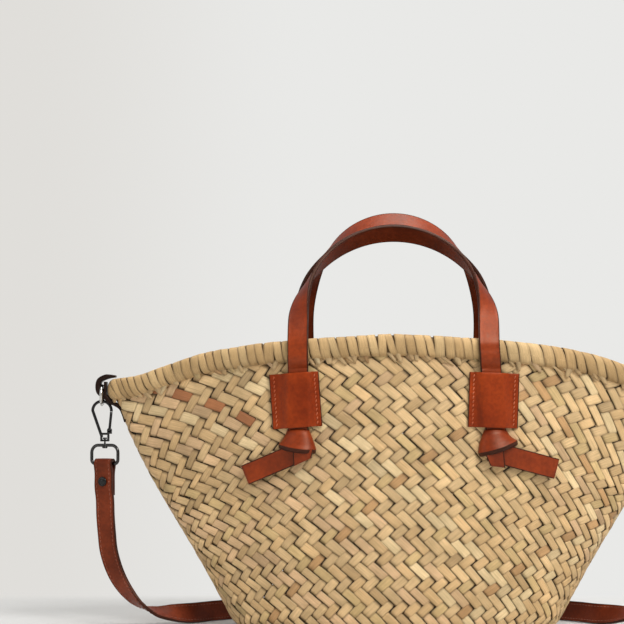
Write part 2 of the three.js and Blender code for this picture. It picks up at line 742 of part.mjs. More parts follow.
// Shoulder strap: round both rings, down to the floor and round the back of the bag, one length
function shoulderStrapBody() {
  const across = new THREE.Vector3(-Math.cos(strapTurn), -Math.sin(strapTurn), 0);
  const near = strapThickness / 2 + seat / 2;
  const half = [];
  const add = (out, z) => half.push({
    middle: new THREE.Vector3(swivelX, 0, z).addScaledVector(outFace, out),
    across,
  });
  const closing = rivetZ + 6;
  add(-near, strapRingBar - foldLength + 4);
  add(-near, rivetZ - 4);
  add(-near, closing);
  const foldSteps = 6;
  for (let i = 0; i <= foldSteps; i += 1) {
    const angle = Math.PI * (i / foldSteps - 0.5);
    add(fold * Math.sin(angle), strapRingBar + fold * Math.cos(angle));
  }
  add(near, closing);
  add(near, rivetZ - 4);
  const rows = strapTable.map(({ across: x, back, up, face }) => ({
    middle: new THREE.Vector3(x * swivelX, back * strapSweep, up * strapRingBar),
    across: new THREE.Vector3(-face[0], face[1], face[2]),
  }));
  const flat = strapWidth / 2 + seat;
  for (const { middle } of rows) {
    middle.z = Math.max(middle.z, flat * (middle.y > 0.3 * strapSweep ? 1 : 0));
  }
  half.push(...rows);
  const other = half.slice(0, -1).reverse().map(({ middle, across: way }) => ({
    middle: middle.clone().multiply(new THREE.Vector3(-1, 1, 1)),
    across: new THREE.Vector3(-way.x, way.y, way.z),
  }));
  const whole = [...half, ...other];
  const middles = new THREE.CatmullRomCurve3(whole.map(({ middle }) => middle), false, 'centripetal');
  const acrosses = new THREE.CatmullRomCurve3(whole.map(({ across: way }) => way), false, 'centripetal');
  const steps = 2 * (whole.length - 1);
  const fineMiddles = [];
  const fineAcrosses = [];
  for (let i = 0; i <= steps; i += 1) {
    fineMiddles.push(middles.getPoint(i / steps));
    fineAcrosses.push(acrosses.getPoint(i / steps));
  }
  const strap = strapBody(fineMiddles, fineAcrosses, strapWidth, strapThickness);
  const hole = rivetPost(rivetShank + seat, 4 * strapThickness);
  return joined([strap], [hole, hole.clone().scale(-1, 1, 1)].map(facedOut));
}

// Mirrored bodies have their faces turned out again
function facedOut(geometry) {
  const plain = geometry.clone();
  plain.deleteAttribute('normal');
  plain.deleteAttribute('uv');
  const merged = mergeVertices(plain, 1e-4);
  const positions = merged.attributes.position;
  const corners = Array.from({ length: positions.count }, (_, i) => (
    new THREE.Vector3().fromBufferAttribute(positions, i)
  ));
  const triangles = [];
  for (let i = 0; i < merged.index.count; i += 3) {
    triangles.push([merged.index.getX(i), merged.index.getX(i + 1), merged.index.getX(i + 2)]);
  }
  return closedBody(corners, triangles);
}

// Round post through the doubled strap at the rivet
function rivetPost(radius, length, out = 0) {
  const geometry = new THREE.CylinderGeometry(radius, radius, length, 16);
  geometry.translate(0, -out, 0);
  geometry.rotateZ(strapTurn);
  geometry.translate(swivelX, 0, rivetZ);
  return geometry;
}

function rivetBody() {
  const face = strapThickness + 1.5 * seat;
  const washerRadius = 0.8 * rivetRadius;
  const washerTall = 0.8;
  const dome = [new THREE.Vector2(0, -face)];
  const profile = [[1, 0], [1, 0.25], [0.85, 0.65], [0.5, 0.92], [0, 1]];
  for (const [out, up] of profile) {
    dome.push(new THREE.Vector2(rivetRadius * out, -face - rivetDome * up));
  }
  const head = new THREE.LatheGeometry(dome, 16);
  const headBody = facedOut(head);
  headBody.rotateZ(strapTurn);
  headBody.translate(swivelX, 0, rivetZ);
  return joined([
    headBody,
    rivetPost(rivetShank, 2 * face + 1),
    rivetPost(washerRadius, washerTall, -face - washerTall / 2),
  ]);
}

const bag = new THREE.Group();

function addPiece(name, geometry, finish, side = 1) {
  const placed = side < 0 ? facedOut(geometry.clone().scale(-1, 1, 1)) : facedOut(geometry);
  const mesh = new THREE.Mesh(placed, new THREE.MeshStandardMaterial(finish));
  mesh.name = name;
  bag.add(mesh);
}

addPiece('basket_body', basketBody(), strawFinish);
addPiece('rim', rimBody(), strawFinish);
for (const face of ['front', 'back']) {
  for (const fastening of fastenings) {
    addPiece(`tab_${face}_${fastening.name}`, patchBody(fastening, face === 'front'), leatherFinish);
  }
  addPiece(`handle_${face}`, handleBody(face === 'front'), leatherFinish);
}
for (const { name, side } of fastenings) {
  addPiece(`side_loop_${name}`, sideLoopBody(), leatherFinish, side);
  addPiece(`loop_ring_${name}`, loopRingBody(), metalFinish, side);
  addPiece(`hook_${name}`, hookBody(), metalFinish, side);
  addPiece(`gate_${name}`, gateBody(), metalFinish, side);
  addPiece(`strap_ring_${name}`, strapRingBody(), metalFinish, side);
  addPiece(`rivet_${name}`, rivetBody(), metalFinish, side);
}
addPiece('shoulder_strap', shoulderStrapBody(), leatherFinish);

export default bag;
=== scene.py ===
"""Dresses the straw basket bag: woven wall, wound rim, leather straps and metal clips.

Lengths are in millimetres and angles in radians unless a name says otherwise. Meshes are made in metres.
"""

import logging
import math
from dataclasses import dataclass, field
from enum import Enum
from typing import Optional, Sequence

import bmesh
import bpy
import numpy as np
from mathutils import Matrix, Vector

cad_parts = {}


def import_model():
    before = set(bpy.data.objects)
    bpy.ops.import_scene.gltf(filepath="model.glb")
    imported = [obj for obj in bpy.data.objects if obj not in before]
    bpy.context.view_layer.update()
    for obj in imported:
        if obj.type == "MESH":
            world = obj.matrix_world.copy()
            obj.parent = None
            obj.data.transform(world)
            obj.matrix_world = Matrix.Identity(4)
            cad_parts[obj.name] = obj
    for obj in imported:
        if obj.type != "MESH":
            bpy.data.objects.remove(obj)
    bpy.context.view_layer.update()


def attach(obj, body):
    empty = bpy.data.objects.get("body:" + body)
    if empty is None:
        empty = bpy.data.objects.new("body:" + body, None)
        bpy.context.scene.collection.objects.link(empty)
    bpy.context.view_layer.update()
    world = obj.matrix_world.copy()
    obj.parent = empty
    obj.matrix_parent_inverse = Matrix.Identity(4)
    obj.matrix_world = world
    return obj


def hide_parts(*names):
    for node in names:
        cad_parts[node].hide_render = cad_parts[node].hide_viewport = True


MM = 0.001
UP = np.array([0.0, 0.0, 1.0])
SEED = 7

log = logging.getLogger("basket")


class Side(Enum):
    """The bag's two ends, seen from its front."""

    LEFT = -1
    RIGHT = 1

    @property
    def word(self) -> str:
        """Name used in the pieces of this end."""
        return self.name.lower()


class Face(Enum):
    """The bag's two broad sides. The value is the sign of Y on that side."""

    FRONT = -1
    BACK = 1

    @property
    def word(self) -> str:
        """Name used in the pieces of this side."""
        return self.name.lower()


class Skin(Enum):
    """Which material slot a face of a leather piece takes."""

    GRAIN = 0
    EDGE = 1
    # The underside's slot holds a darker copy of the leather, as painted shade.
    UNDER = 2


def smooth_table(rows: Sequence[tuple], column: int, at: np.ndarray) -> np.ndarray:
    """Reads a table of sections smoothly between its rows.

    Args:
        rows: Rows that start with their place.
        column: Which column to read.
        at: Places to read it at.

    Returns:
        The column's values, through every row.
    """
    table = np.array(rows, float)
    place, value = table[:, 0], table[:, column]
    slope = np.gradient(value, place)
    slope[1:-1] = (value[2:] - value[:-2]) / (place[2:] - place[:-2])
    at = np.clip(np.asarray(at, float), place[0], place[-1])
    row = np.clip(np.searchsorted(place, at, side="right") - 1, 0, len(place) - 2)
    step = place[row + 1] - place[row]
    t = (at - place[row]) / step
    return (
        (2 * t**3 - 3 * t**2 + 1) * value[row]
        + (t**3 - 2 * t**2 + t) * step * slope[row]
        + (3 * t**2 - 2 * t**3) * value[row + 1]
        + (t**3 - t**2) * step * slope[row + 1]
    )


def unit(vectors: np.ndarray) -> np.ndarray:
    """Vectors along the last axis, made one long."""
    return vectors / np.maximum(np.linalg.norm(vectors, axis=-1, keepdims=True), 1e-12)


def smoothed(points: np.ndarray, steps: int) -> np.ndarray:
    """Runs a smooth curve through a row of points.

    Args:
        points: The points, one a row.
        steps: Number of stretches of the result.

    Returns:
        Points of a centripetal Catmull-Rom curve, evenly spread over its stretches.
    """
    points = np.asarray(points, float)
    count = len(points)
    before = 2 * points[0] - points[1]
    after = 2 * points[-1] - points[-2]
    padded = np.vstack([before, points, after])
    made = []
    for t in np.linspace(0, count - 1, steps + 1):
        i = min(int(t), count - 2)
        p0, p1, p2, p3 = padded[i : i + 4]
        pairs = ((p0, p1), (p1, p2), (p2, p3))
        d0, d1, d2 = (max(float(((b - a) ** 2).sum()) ** 0.25, 1e-4) for a, b in pairs)
        m1 = ((p1 - p0) / d0 - (p2 - p0) / (d0 + d1) + (p2 - p1) / d1) * d1
        m2 = ((p2 - p1) / d1 - (p3 - p1) / (d1 + d2) + (p3 - p2) / d2) * d1
        w = t - i
        made.append(
            (2 * w**3 - 3 * w**2 + 1) * p1
            + (w**3 - 2 * w**2 + w) * m1
            + (3 * w**2 - 2 * w**3) * p2
            + (w**3 - w**2) * m2
        )
    return np.array(made)


@dataclass(frozen=True)
class BasketForm:
    """Outer form of the woven basket, the same as the solid wall and rim."""

    wall: float = 3.0
    rim_top: float = 211.6
    rim_drop: float = 31.0
    rim_half_length: float = 206.2
    rim_half_depth: float = 58.5
    rim_corner: float = 8.0
    base_half_length: float = 116.0
    base_half_depth: float = 50.0
    base_corner: float = 34.0
    base_edge: float = 7.0
    rim_tall: float = 16.0
    rim_thick: float = 11.5
    seat: float = 0.3
    rim_line_rows: tuple = (
        (0, 0),
        (0.38, 0.15),
        (0.58, 0.31),
        (0.7, 0.47),
        (0.82, 0.73),
        (0.9, 0.9),
        (1, 1),
    )
    flare_rows: tuple = (
        (0, 0, 0, 0),
        (0.3, 0.31, 0.45, 0.35),
        (0.6, 0.645, 0.75, 0.7),
        (0.8, 0.84, 0.89, 0.87),
        (1, 1, 1, 1),
    )

    def rim_line(self, share: np.ndarray) -> np.ndarray:
        """Height of the middle of the rim's roll at a share of the half length."""
        drop = smooth_table(self.rim_line_rows, 1, np.abs(share))
        return self.rim_top - self.rim_tall / 2 - self.rim_drop * drop

    def wall_top(self, share: np.ndarray) -> np.ndarray:
        """Height of the wall's upper edge at a share of the half length."""
        return self.rim_line(share) - self.rim_tall / 2 - self.seat

    @property
    def top_share(self) -> float:
        """Level of the wall's upper edge, as a share of the rim's middle."""
        return float(1 - (self.rim_tall / 2 + self.seat) / self.rim_line(np.zeros(1))[0])

    def plan(self, level: np.ndarray, inset: np.ndarray = 0.0) -> tuple:
        """Plan of the wall at a level.

        Args:
            level: Height as a share of the rim's middle.
            inset: How far inside the wall's outside.

        Returns:
            Half length, half depth and corner radius.
        """
        base = (self.base_half_length, self.base_half_depth, self.base_corner)
        half = self.wall / 2
        mouth = (self.rim_half_length + half, self.rim_half_depth + half, self.rim_corner)
        return tuple(
            b + (m - b) * smooth_table(self.flare_rows, column + 1, level) - inset
            for column, (b, m) in enumerate(zip(base, mouth))
        )

    @staticmethod
    def arcs(plan: tuple) -> tuple:
        """Radius and half angle of the plan's long arcs."""
        length, depth, corner = plan
        radius = ((length - corner) ** 2 + depth**2 - corner**2) / (2 * (depth - corner))
        return radius, np.arctan2(length - corner, radius - depth)

    def quarter(self, plan: tuple, share: np.ndarray) -> tuple:
        """Point on the quarter of a plan from the middle of the front to the right-hand corner.

        Args:
            plan: Half length, half depth and corner radius.
            share: Share of the quarter's length.

        Returns:
            Distance along the bag and distance from its middle plane.
        """
        length, depth, corner = plan
        radius, reach = self.arcs(plan)
        along = share * (reach * radius + (math.pi / 2 - reach) * corner)
        on_long = along < reach * radius
        angle = np.where(on_long, along / radius, reach + (along - reach * radius) / corner)
        x = np.where(on_long, radius * np.sin(angle), length - corner + corner * np.sin(angle))
        y = np.where(on_long, radius * np.cos(angle) - (radius - depth), corner * np.cos(angle))
        return x, y

    def around(self, plan: tuple, turn: np.ndarray, crowding: np.ndarray = 0.0) -> tuple:
        """Point on a plan at a share of the way round, from the middle of the front towards +X.

        Args:
            plan: Half length, half depth and corner radius.
            turn: Share of the whole way round.
            crowding: Share by which the spacing is wider on the broad sides and squeezed at the corners.

        Returns:
            X and Y.
        """
        four = (turn % 1.0) * 4
        number = np.floor(four)
        share = four - number
        share = np.where(number % 2 == 1, 1 - share, share)
        crowding = np.maximum(crowding, 0.01)
        share = (1 + crowding) * share - crowding * share ** (1 + 0.85 / crowding)
        x, y = self.quarter(plan, share)
        x = np.where(number < 2, x, -x)
        y = np.where((number == 1) | (number == 2), y, -y)
        return x, y

    def wall_depth(self, x: np.ndarray, height: np.ndarray) -> np.ndarray:
        """Distance of the wall's outside from the middle plane."""
        x, height = np.asarray(x, float), np.asarray(height, float)
        plan = self.plan(np.full(np.broadcast(x, height).shape, 0.5))
        for _ in range(4):
            plan = self.plan(height / self.wall_top(x / plan[0]) * self.top_share)
        radius, _ = self.arcs(plan)
        return np.sqrt(radius**2 - x**2) - (radius - plan[1])

    def rim_depth(self, x: float) -> float:
        """Distance of the middle of the rim's roll from the middle plane."""
        plan = self.plan(np.ones(1), self.wall / 2)
        radius, _ = self.arcs(plan)
        return float((np.sqrt(radius**2 - x**2) - (radius - plan[1]))[0])


@dataclass
class MeshParts:
    """Corners, faces and surface data of a mesh that is being gathered."""

    corners: list = field(default_factory=list)
    faces: list = field(default_factory=list)
    skins: list = field(default_factory=list)
    uvs: list = field(default_factory=list)
    tones: list = field(default_factory=list)
    count: int = 0

    def add_grid(
        self,
        grid: np.ndarray,
        closed: bool = True,
        ring: bool = False,
        caps: bool = True,
        skins: Optional[Sequence[int]] = None,
        uv: Optional[np.ndarray] = None,
        tone: Optional[np.ndarray] = None,
    ) -> None:
        """Adds a tube or sheet given by rows of corners.

        Args:
            grid: Corners as (rows, places round a row, 3).
            closed: Whether each row closes on itself.
            ring: Whether the last row joins the first.
            caps: Whether the ends of a closed tube are filled.
            skins: Material slot of each stretch round a row.
            uv: Surface coordinates as (rows, places, 2).
            tone: Colours as (rows, places, 3).
        """
        rows, around = grid.shape[:2]
        start = self.count
        spans = rows if ring else rows - 1
        stretches = around if closed else around - 1
        r, k = np.meshgrid(np.arange(spans), np.arange(stretches), indexing="ij")
        r2, k2 = (r + 1) % rows, (k + 1) % around
        quads = np.stack([r * around + k, r * around + k2, r2 * around + k2, r2 * around + k], -1)
        self.faces.append(quads.reshape(-1, 4) + start)
        slots = np.zeros(around, int) if skins is None else np.asarray(skins, int)
        self.skins.append(np.tile(slots[:stretches], spans))
        if closed and caps and not ring:
            half = around // 2
            for row, flip in ((0, False), (rows - 1, True)):
                first = start + row * around
                for i in range(half - 1):
                    quad = [first + i, first + around - 1 - i, first + around - 2 - i, first + i + 1]
                    self.faces.append(np.array([quad[::-1] if flip else quad]))
                    self.skins.append(np.array([slots.max()]))
        self.corners.append(grid.reshape(-1, 3))
        self.uvs.append(np.zeros((rows * around, 2)) if uv is None else uv.reshape(-1, 2))
        self.tones.append(np.ones((rows * around, 3)) if tone is None else tone.reshape(-1, 3))
        self.count += rows * around

    def build(
        self, name: str, materials: Sequence[bpy.types.Material], toned: bool = False
    ) -> bpy.types.Object:
        """Makes the piece.

        Args:
            name: Name of the piece.
            materials: Its material slots, in order.
            toned: Whether the colours go into an attribute called tone.

        Returns:
            The piece, linked to the scene, with its faces turned out.
        """
        corners = np.vstack(self.corners) * MM
        faces = np.vstack(self.faces)
        mesh = bpy.data.meshes.new(name)
        mesh.from_pydata(corners.tolist(), [], faces.tolist())
        mesh.update()
        for material in materials:
            mesh.materials.append(material)
        mesh.polygons.foreach_set("material_index", np.concatenate(self.skins).astype(np.int32))
        mesh.polygons.foreach_set("use_smooth", np.ones(len(mesh.polygons), bool))
        uvs = np.vstack(self.uvs)
        loops = np.zeros(len(mesh.loops), np.int32)
        mesh.loops.foreach_get("vertex_index", loops)
        layer = mesh.uv_layers.new(name="Run")
        layer.data.foreach_set("uv", uvs[loops].astype(np.float32).ravel())
        if toned:
            tones = np.vstack(self.tones)
            colour = mesh.color_attributes.new("tone", "FLOAT_COLOR", "POINT")
            rgba = np.hstack([tones, np.ones((len(tones), 1))])
            colour.data.foreach_set("color", rgba.astype(np.float32).ravel())
        piece = bpy.data.objects.new(name, mesh)
        bpy.context.scene.collection.objects.link(piece)
        face_out(piece)
        return piece


def face_out(piece: bpy.types.Object) -> None:
    """Turns every closed shell's faces outwards."""
    edit = bmesh.new()
    edit.from_mesh(piece.data)
    bmesh.ops.recalc_face_normals(edit, faces=edit.faces)
    edit.to_mesh(piece.data)
    edit.free()


def fasten(piece: bpy.types.Object, body: str, node: Optional[str] = None) -> bpy.types.Object:
    """Ties a piece to its place in the frame.

    Args:
        piece: The piece.
        body: Body that it rides on.
        node: Node that it replaces, if any.

    Returns:
        The piece.
    """
    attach(piece, body)
    if node:
        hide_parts(node)
    return piece


def run_along(middles: np.ndarray) -> np.ndarray:
    """Length along a row of points, at each of them."""
    return np.concatenate([[0], np.cumsum(np.linalg.norm(np.diff(middles, axis=0), axis=1))])


def strap_axes(middles: np.ndarray, acrosses: np.ndarray) -> tuple:
    """Directions across and through a strap, square to its middle line."""
    along = unit(np.gradient(middles, axis=0))
    across = unit(acrosses - (acrosses * along).sum(-1, keepdims=True) * along)
    return across, np.cross(across, along)


def both_ways(profile: Sequence[tuple]) -> list:
    """A turned body's profile, followed by its mirror image."""
    return [*profile, *((radius, -height) for radius, height in profile[::-1])]


def strap_section(
    width: float, thickness: float, crown: float = 0.25, corner: float = 0.8, under: int = 0
) -> tuple:
    """Section of a leather strap with rounded, painted edges.

    Args:
        width: Across the strap.
        thickness: Through it.
        crown: How much the faces rise in the middle.
        corner: Radius at the edges.
        under: Sign of the face that is the strap's underside, which takes a darker copy of the leather as
            painted shade, or 0 when every face takes the grain slot.

    Returns:
        Offsets across and through the strap, and the skin of each stretch between them.
    """
    flat = width / 2 - corner
    high = thickness / 2 - corner
    places = np.linspace(-1, 1, 7)
    points, skins = [], []
    for sign in (1, -1):
        for p in places:
            points.append((sign * p * flat, sign * (thickness / 2 + crown * (1 - p * p) - crown)))
            skins.append(Skin.UNDER.value if sign == under else Skin.GRAIN.value)
        skins[-1] = Skin.EDGE.value
        for angle in np.radians([60, 25, -25, -60]):
            across = flat + corner * math.cos(angle)
            through = math.copysign(high, angle) + corner * math.sin(angle)
            points.append((sign * across, sign * through))
            skins.append(Skin.EDGE.value)
    return np.array(points), skins


def sweep(
    parts: MeshParts,
    middles: np.ndarray,
    acrosses: np.ndarray,
    section: tuple,
    widths: Optional[np.ndarray] = None,
    depths: Optional[np.ndarray] = None,
) -> None:
    """Adds a strap along a row of middles.

    Args:
        parts: Where the strap goes.
        middles: Middles of the strap.
        acrosses: Direction across it at each middle.
        section: Offsets and skins, as strap_section gives them.
        widths: Scale across at each middle.
        depths: Scale through at each middle.
    """
    offsets, skins = section
    across, through = strap_axes(middles, acrosses)
    w = np.ones(len(middles)) if widths is None else widths
    d = np.ones(len(middles)) if depths is None else depths
    grid = (
        middles[:, None]
        + across[:, None] * (offsets[None, :, :1] * w[:, None, None])
        + through[:, None] * (offsets[None, :, 1:] * d[:, None, None])
    )
    uv = np.stack(np.broadcast_arrays(run_along(middles)[:, None], offsets[None, :, 0]), -1)
    parts.add_grid(grid, skins=skins, uv=uv)


def wire(
    parts: MeshParts,
    middles: np.ndarray,
    radius: float,
    normal: np.ndarray,
    ring: bool = False,
    sides: int = 14,
) -> None:
    """Adds a round wire whose middles lie in one plane.

    Args:
        parts: Where the wire goes.
        middles: Middles of the wire.
        radius: Of the wire.
        normal: Normal of the plane.
        ring: Whether it closes.
        sides: Faces round it.
    """
    if ring:
        along = unit(np.roll(middles, -1, 0) - np.roll(middles, 1, 0))
    else:
        along = unit(np.gradient(middles, axis=0))
    out = unit(np.cross(along, normal))
    angle = 2 * np.pi * np.arange(sides) / sides
    grid = (
        middles[:, None]
        + radius * np.cos(angle)[None, :, None] * normal
        + radius * np.sin(angle)[None, :, None] * out[:, None]
    )
    parts.add_grid(grid, ring=ring)


def stitch(parts: MeshParts, start: np.ndarray, end: np.ndarray, out: np.ndarray, radius: float) -> None:
    """Adds one stitch: a short thread that rises out of the leather and dips back into it.

    Args:
        parts: Where the stitch goes.
        start: Its first hole.
        end: Its second hole.
        out: Direction out of the leather.
        radius: Of the thread.
    """
    share = np.linspace(0, 1, 6)
    rise = radius * (1.1 * np.sin(np.pi * share) - 0.5)
    middles = start + (end - start) * share[:, None] + out * rise[:, None]
    side = unit(np.cross(end - start, out))
    angle = 2 * np.pi * np.arange(6) / 6
    girth = radius * (0.7 + 0.3 * np.sin(np.pi * share))
    grid = (
        middles[:, None]
        + (girth[:, None] * np.cos(angle)[None])[..., None] * side
        + (girth[:, None] * np.sin(angle)[None])[..., None] * out
    )
    parts.add_grid(grid)


def lathe(
    parts: MeshParts, profile: Sequence[tuple], base: np.ndarray, axis: np.ndarray, sides: int = 28
) -> None:
    """Adds a turned body.

    Args:
        parts: Where it goes.
        profile: Pairs of radius and distance along the axis, from one end to the other.
        base: Where the axis starts.
        axis: Its direction.
        sides: Faces round it.
    """
    axis = unit(np.asarray(axis, float))
    helper = np.array([1.0, 0, 0]) if abs(axis[0]) < 0.9 else np.array([0, 1.0, 0])
    one = unit(np.cross(axis, helper))
    two = np.cross(axis, one)
    angle = 2 * np.pi * np.arange(sides) / sides
    ring = np.cos(angle)[:, None] * one + np.sin(angle)[:, None] * two
    rows = np.array([[max(r, 0.01), h] for r, h in profile])
    grid = base + rows[:, None, 1:] * axis + rows[:, None, :1] * ring[None]
    parts.add_grid(grid)


class NodeTree:
    """Small helper that adds and joins the nodes of one material."""

    def __init__(self, name: str) -> None:
        """Starts a material with only its Principled shader.

        Args:
            name: Name of the material.
        """
        self.material = bpy.data.materials.new(name)
        self.material.use_nodes = True
        self.tree = self.material.node_tree
        self.shader = self.tree.nodes["Principled BSDF"]

    def add(self, kind: str, inputs: Optional[dict] = None, **settings: object) -> bpy.types.Node:
        """Adds a node.

        Args:
            kind: Its type, without the common prefix.
            inputs: Numbers or sockets for its inputs, by name or number.
            **settings: Its own properties.

        Returns:
            The node.
        """
        node = self.tree.nodes.new("ShaderNode" + kind)
        for key, value in settings.items():
            setattr(node, key, value)
        for key, value in (inputs or {}).items():
            if isinstance(value, bpy.types.NodeSocket):
                self.tree.links.new(value, node.inputs[key])
            else:
                node.inputs[key].default_value = value
        return node

    def mix(self, share: object, low: object, high: object, blend: str = "MIX") -> bpy.types.NodeSocket:
        """Mixes two colours and returns the socket of the result."""
        node = self.tree.nodes.new("ShaderNodeMix")
        node.data_type = "RGBA"
        node.blend_type = blend
        for socket, value in ((node.inputs[0], share), (node.inputs[6], low), (node.inputs[7], high)):
            if isinstance(value, bpy.types.NodeSocket):
                self.tree.links.new(value, socket)
            else:
                socket.default_value = value
        return node.outputs[2]

    def ramp(self, source: bpy.types.NodeSocket, low: float, high: float) -> bpy.types.NodeSocket:
        """Spreads values between low and high smoothly over 0 to 1."""
        node = self.add("MapRange", {0: source, 1: low, 2: high}, interpolation_type="SMOOTHSTEP")
        return node.outputs[0]

    def noise(self, vector: bpy.types.NodeSocket, detail: float) -> bpy.types.NodeSocket:
        """Cloudy values at a scaled place."""
        return self.add("TexNoise", {"Vector": vector, "Scale": 1.0, "Detail": detail}).outputs[0]

    def spread(self, source: bpy.types.NodeSocket, low: float, high: float) -> bpy.types.NodeSocket:
        """Spreads values of 0 to 1 evenly over low to high."""
        return self.add("MapRange", {0: source, 3: low, 4: high}).outputs[0]

    def place(self, scale: Sequence[float]) -> bpy.types.NodeSocket:
        """Object coordinates, scaled."""
        coordinates = self.add("TexCoord").outputs["Object"]
        return self.add("Mapping", {"Vector": coordinates, "Scale": scale}).outputs[0]

    def run(self, scale: Sequence[float]) -> bpy.types.NodeSocket:
        """Coordinates along and across a strip, scaled."""
        coordinates = self.add("UVMap", uv_map="Run").outputs[0]
        return self.add("Mapping", {"Vector": coordinates, "Scale": scale}).outputs[0]

    def shade(self, **sockets: object) -> None:
        """Sets the shader's inputs by their names, with underscores for spaces."""
        for key, value in sockets.items():
            socket = self.shader.inputs[key.replace("_", " ")]
            if isinstance(value, bpy.types.NodeSocket):
                self.tree.links.new(value, socket)
            else:
                socket.default_value = value


def linear(red: int, green: int, blue: int) -> tuple:
    """Colour as seen on a screen, turned into the shader's linear numbers."""
    values = [c / 255 for c in (red, green, blue)]
    return tuple(c / 12.92 if c <= 0.04045 else ((c + 0.055) / 1.055) ** 2.4 for c in values) + (1.0,)


@dataclass(frozen=True)
class StrawFinish:
    """Dried palm leaf: fibres along the strip, blotches, a faint sheen."""

    name: str = "palm_leaf"
    brightness: float = 1.09
    roughness: float = 0.62
    bump: float = 0.35

    def make(self) -> bpy.types.Material:
        """Builds the material from each strip's own tone."""
        nodes = NodeTree(self.name)
        tone = nodes.add("Attribute", attribute_name="tone").outputs["Color"]
        fibre = nodes.noise(nodes.run((0.05, 2.6, 1)), 3.0)
        blotch = nodes.noise(nodes.place((60, 60, 60)), 4.0)
        fine = nodes.noise(nodes.run((0.9, 5.0, 1)), 2.0)
        streaks = nodes.ramp(fibre, 0.25, 0.75)
        patches = nodes.ramp(blotch, 0.3, 0.7)
        dark = (0.78, 0.74, 0.66, 1)
        light = (1.1, 1.08, 1.04, 1)
        colour = nodes.mix(1.0, tone, nodes.mix(streaks, dark, light), "MULTIPLY")
        spots = nodes.mix(patches, (0.86, 0.84, 0.78, 1), (1.08, 1.06, 1.02, 1))
        colour = nodes.mix(1.0, colour, spots, "MULTIPLY")
        colour = nodes.mix(1.0, colour, (self.brightness,) * 3 + (1,), "MULTIPLY")
        height = nodes.add("Math", {0: fibre, 1: fine}, operation="ADD").outputs[0]
        bump = nodes.add("Bump", {"Height": height, "Strength": self.bump, "Distance": 0.0006})
        rough = nodes.spread(fine, self.roughness - 0.12, self.roughness + 0.14)
        nodes.shade(Base_Color=colour, Normal=bump.outputs[0], Roughness=rough)
        nodes.shade(Specular_IOR_Level=0.35, Sheen_Weight=0.05)
        return nodes.material


@dataclass(frozen=True)
class LeatherFinish:
    """Smooth reddish brown leather with fine grain, pull-up patches and a satin coat."""

    name: str = "leather"
    deep: tuple = (122, 38, 6)
    warm: tuple = (156, 57, 13)
    roughness: float = 0.42
    grain: float = 0.18
    coat: float = 0.03
    sheen: float = 0.3

    def make(self) -> bpy.types.Material:
        """Builds the material from object-space grain."""
        nodes = NodeTree(self.name)
        cloud = nodes.noise(nodes.place((38, 38, 38)), 3.0)
        mottle = nodes.noise(nodes.place((420, 420, 420)), 4.0)
        pores = nodes.add("TexVoronoi", {"Vector": nodes.place((1500, 1500, 1500)), "Scale": 1.0})
        shade = nodes.ramp(cloud, 0.3, 0.72)
        colour = nodes.mix(shade, linear(*self.deep), linear(*self.warm))
        speck = nodes.ramp(mottle, 0.3, 0.7)
        specks = nodes.mix(speck, (0.84, 0.82, 0.8, 1), (1.1, 1.1, 1.1, 1))
        colour = nodes.mix(1.0, colour, specks, "MULTIPLY")
        height = nodes.add("Math", {0: pores.outputs[0], 1: mottle}, operation="ADD").outputs[0]
        bump = nodes.add("Bump", {"Height": height, "Strength": self.grain, "Distance": 0.0003})
        rough = nodes.spread(mottle, self.roughness - 0.1, self.roughness + 0.12)
        nodes.shade(Base_Color=colour, Normal=bump.outputs[0], Roughness=rough)
        nodes.shade(Specular_IOR_Level=self.sheen, Specular_Tint=(1.0, 0.64, 0.44, 1.0))
        nodes.shade(Coat_Weight=self.coat, Coat_Roughness=0.28)
        return nodes.material


@dataclass(frozen=True)
class MetalFinish:
    """Polished plated metal with faint handling wear."""

    name: str
    base: tuple
    roughness: float = 0.16

    def make(self) -> bpy.types.Material:
        """Builds the material."""
        nodes = NodeTree(self.name)
        wear = nodes.noise(nodes.place((500, 500, 500)), 3.0)
        worn = nodes.ramp(wear, 0.35, 0.7)
        low = tuple(c * 0.8 for c in self.base) + (1,)
        colour = nodes.mix(worn, low, self.base + (1,))
        rough = nodes.spread(wear, self.roughness - 0.07, self.roughness + 0.1)
        nodes.shade(Base_Color=colour, Roughness=rough, Metallic=1.0)
        return nodes.material


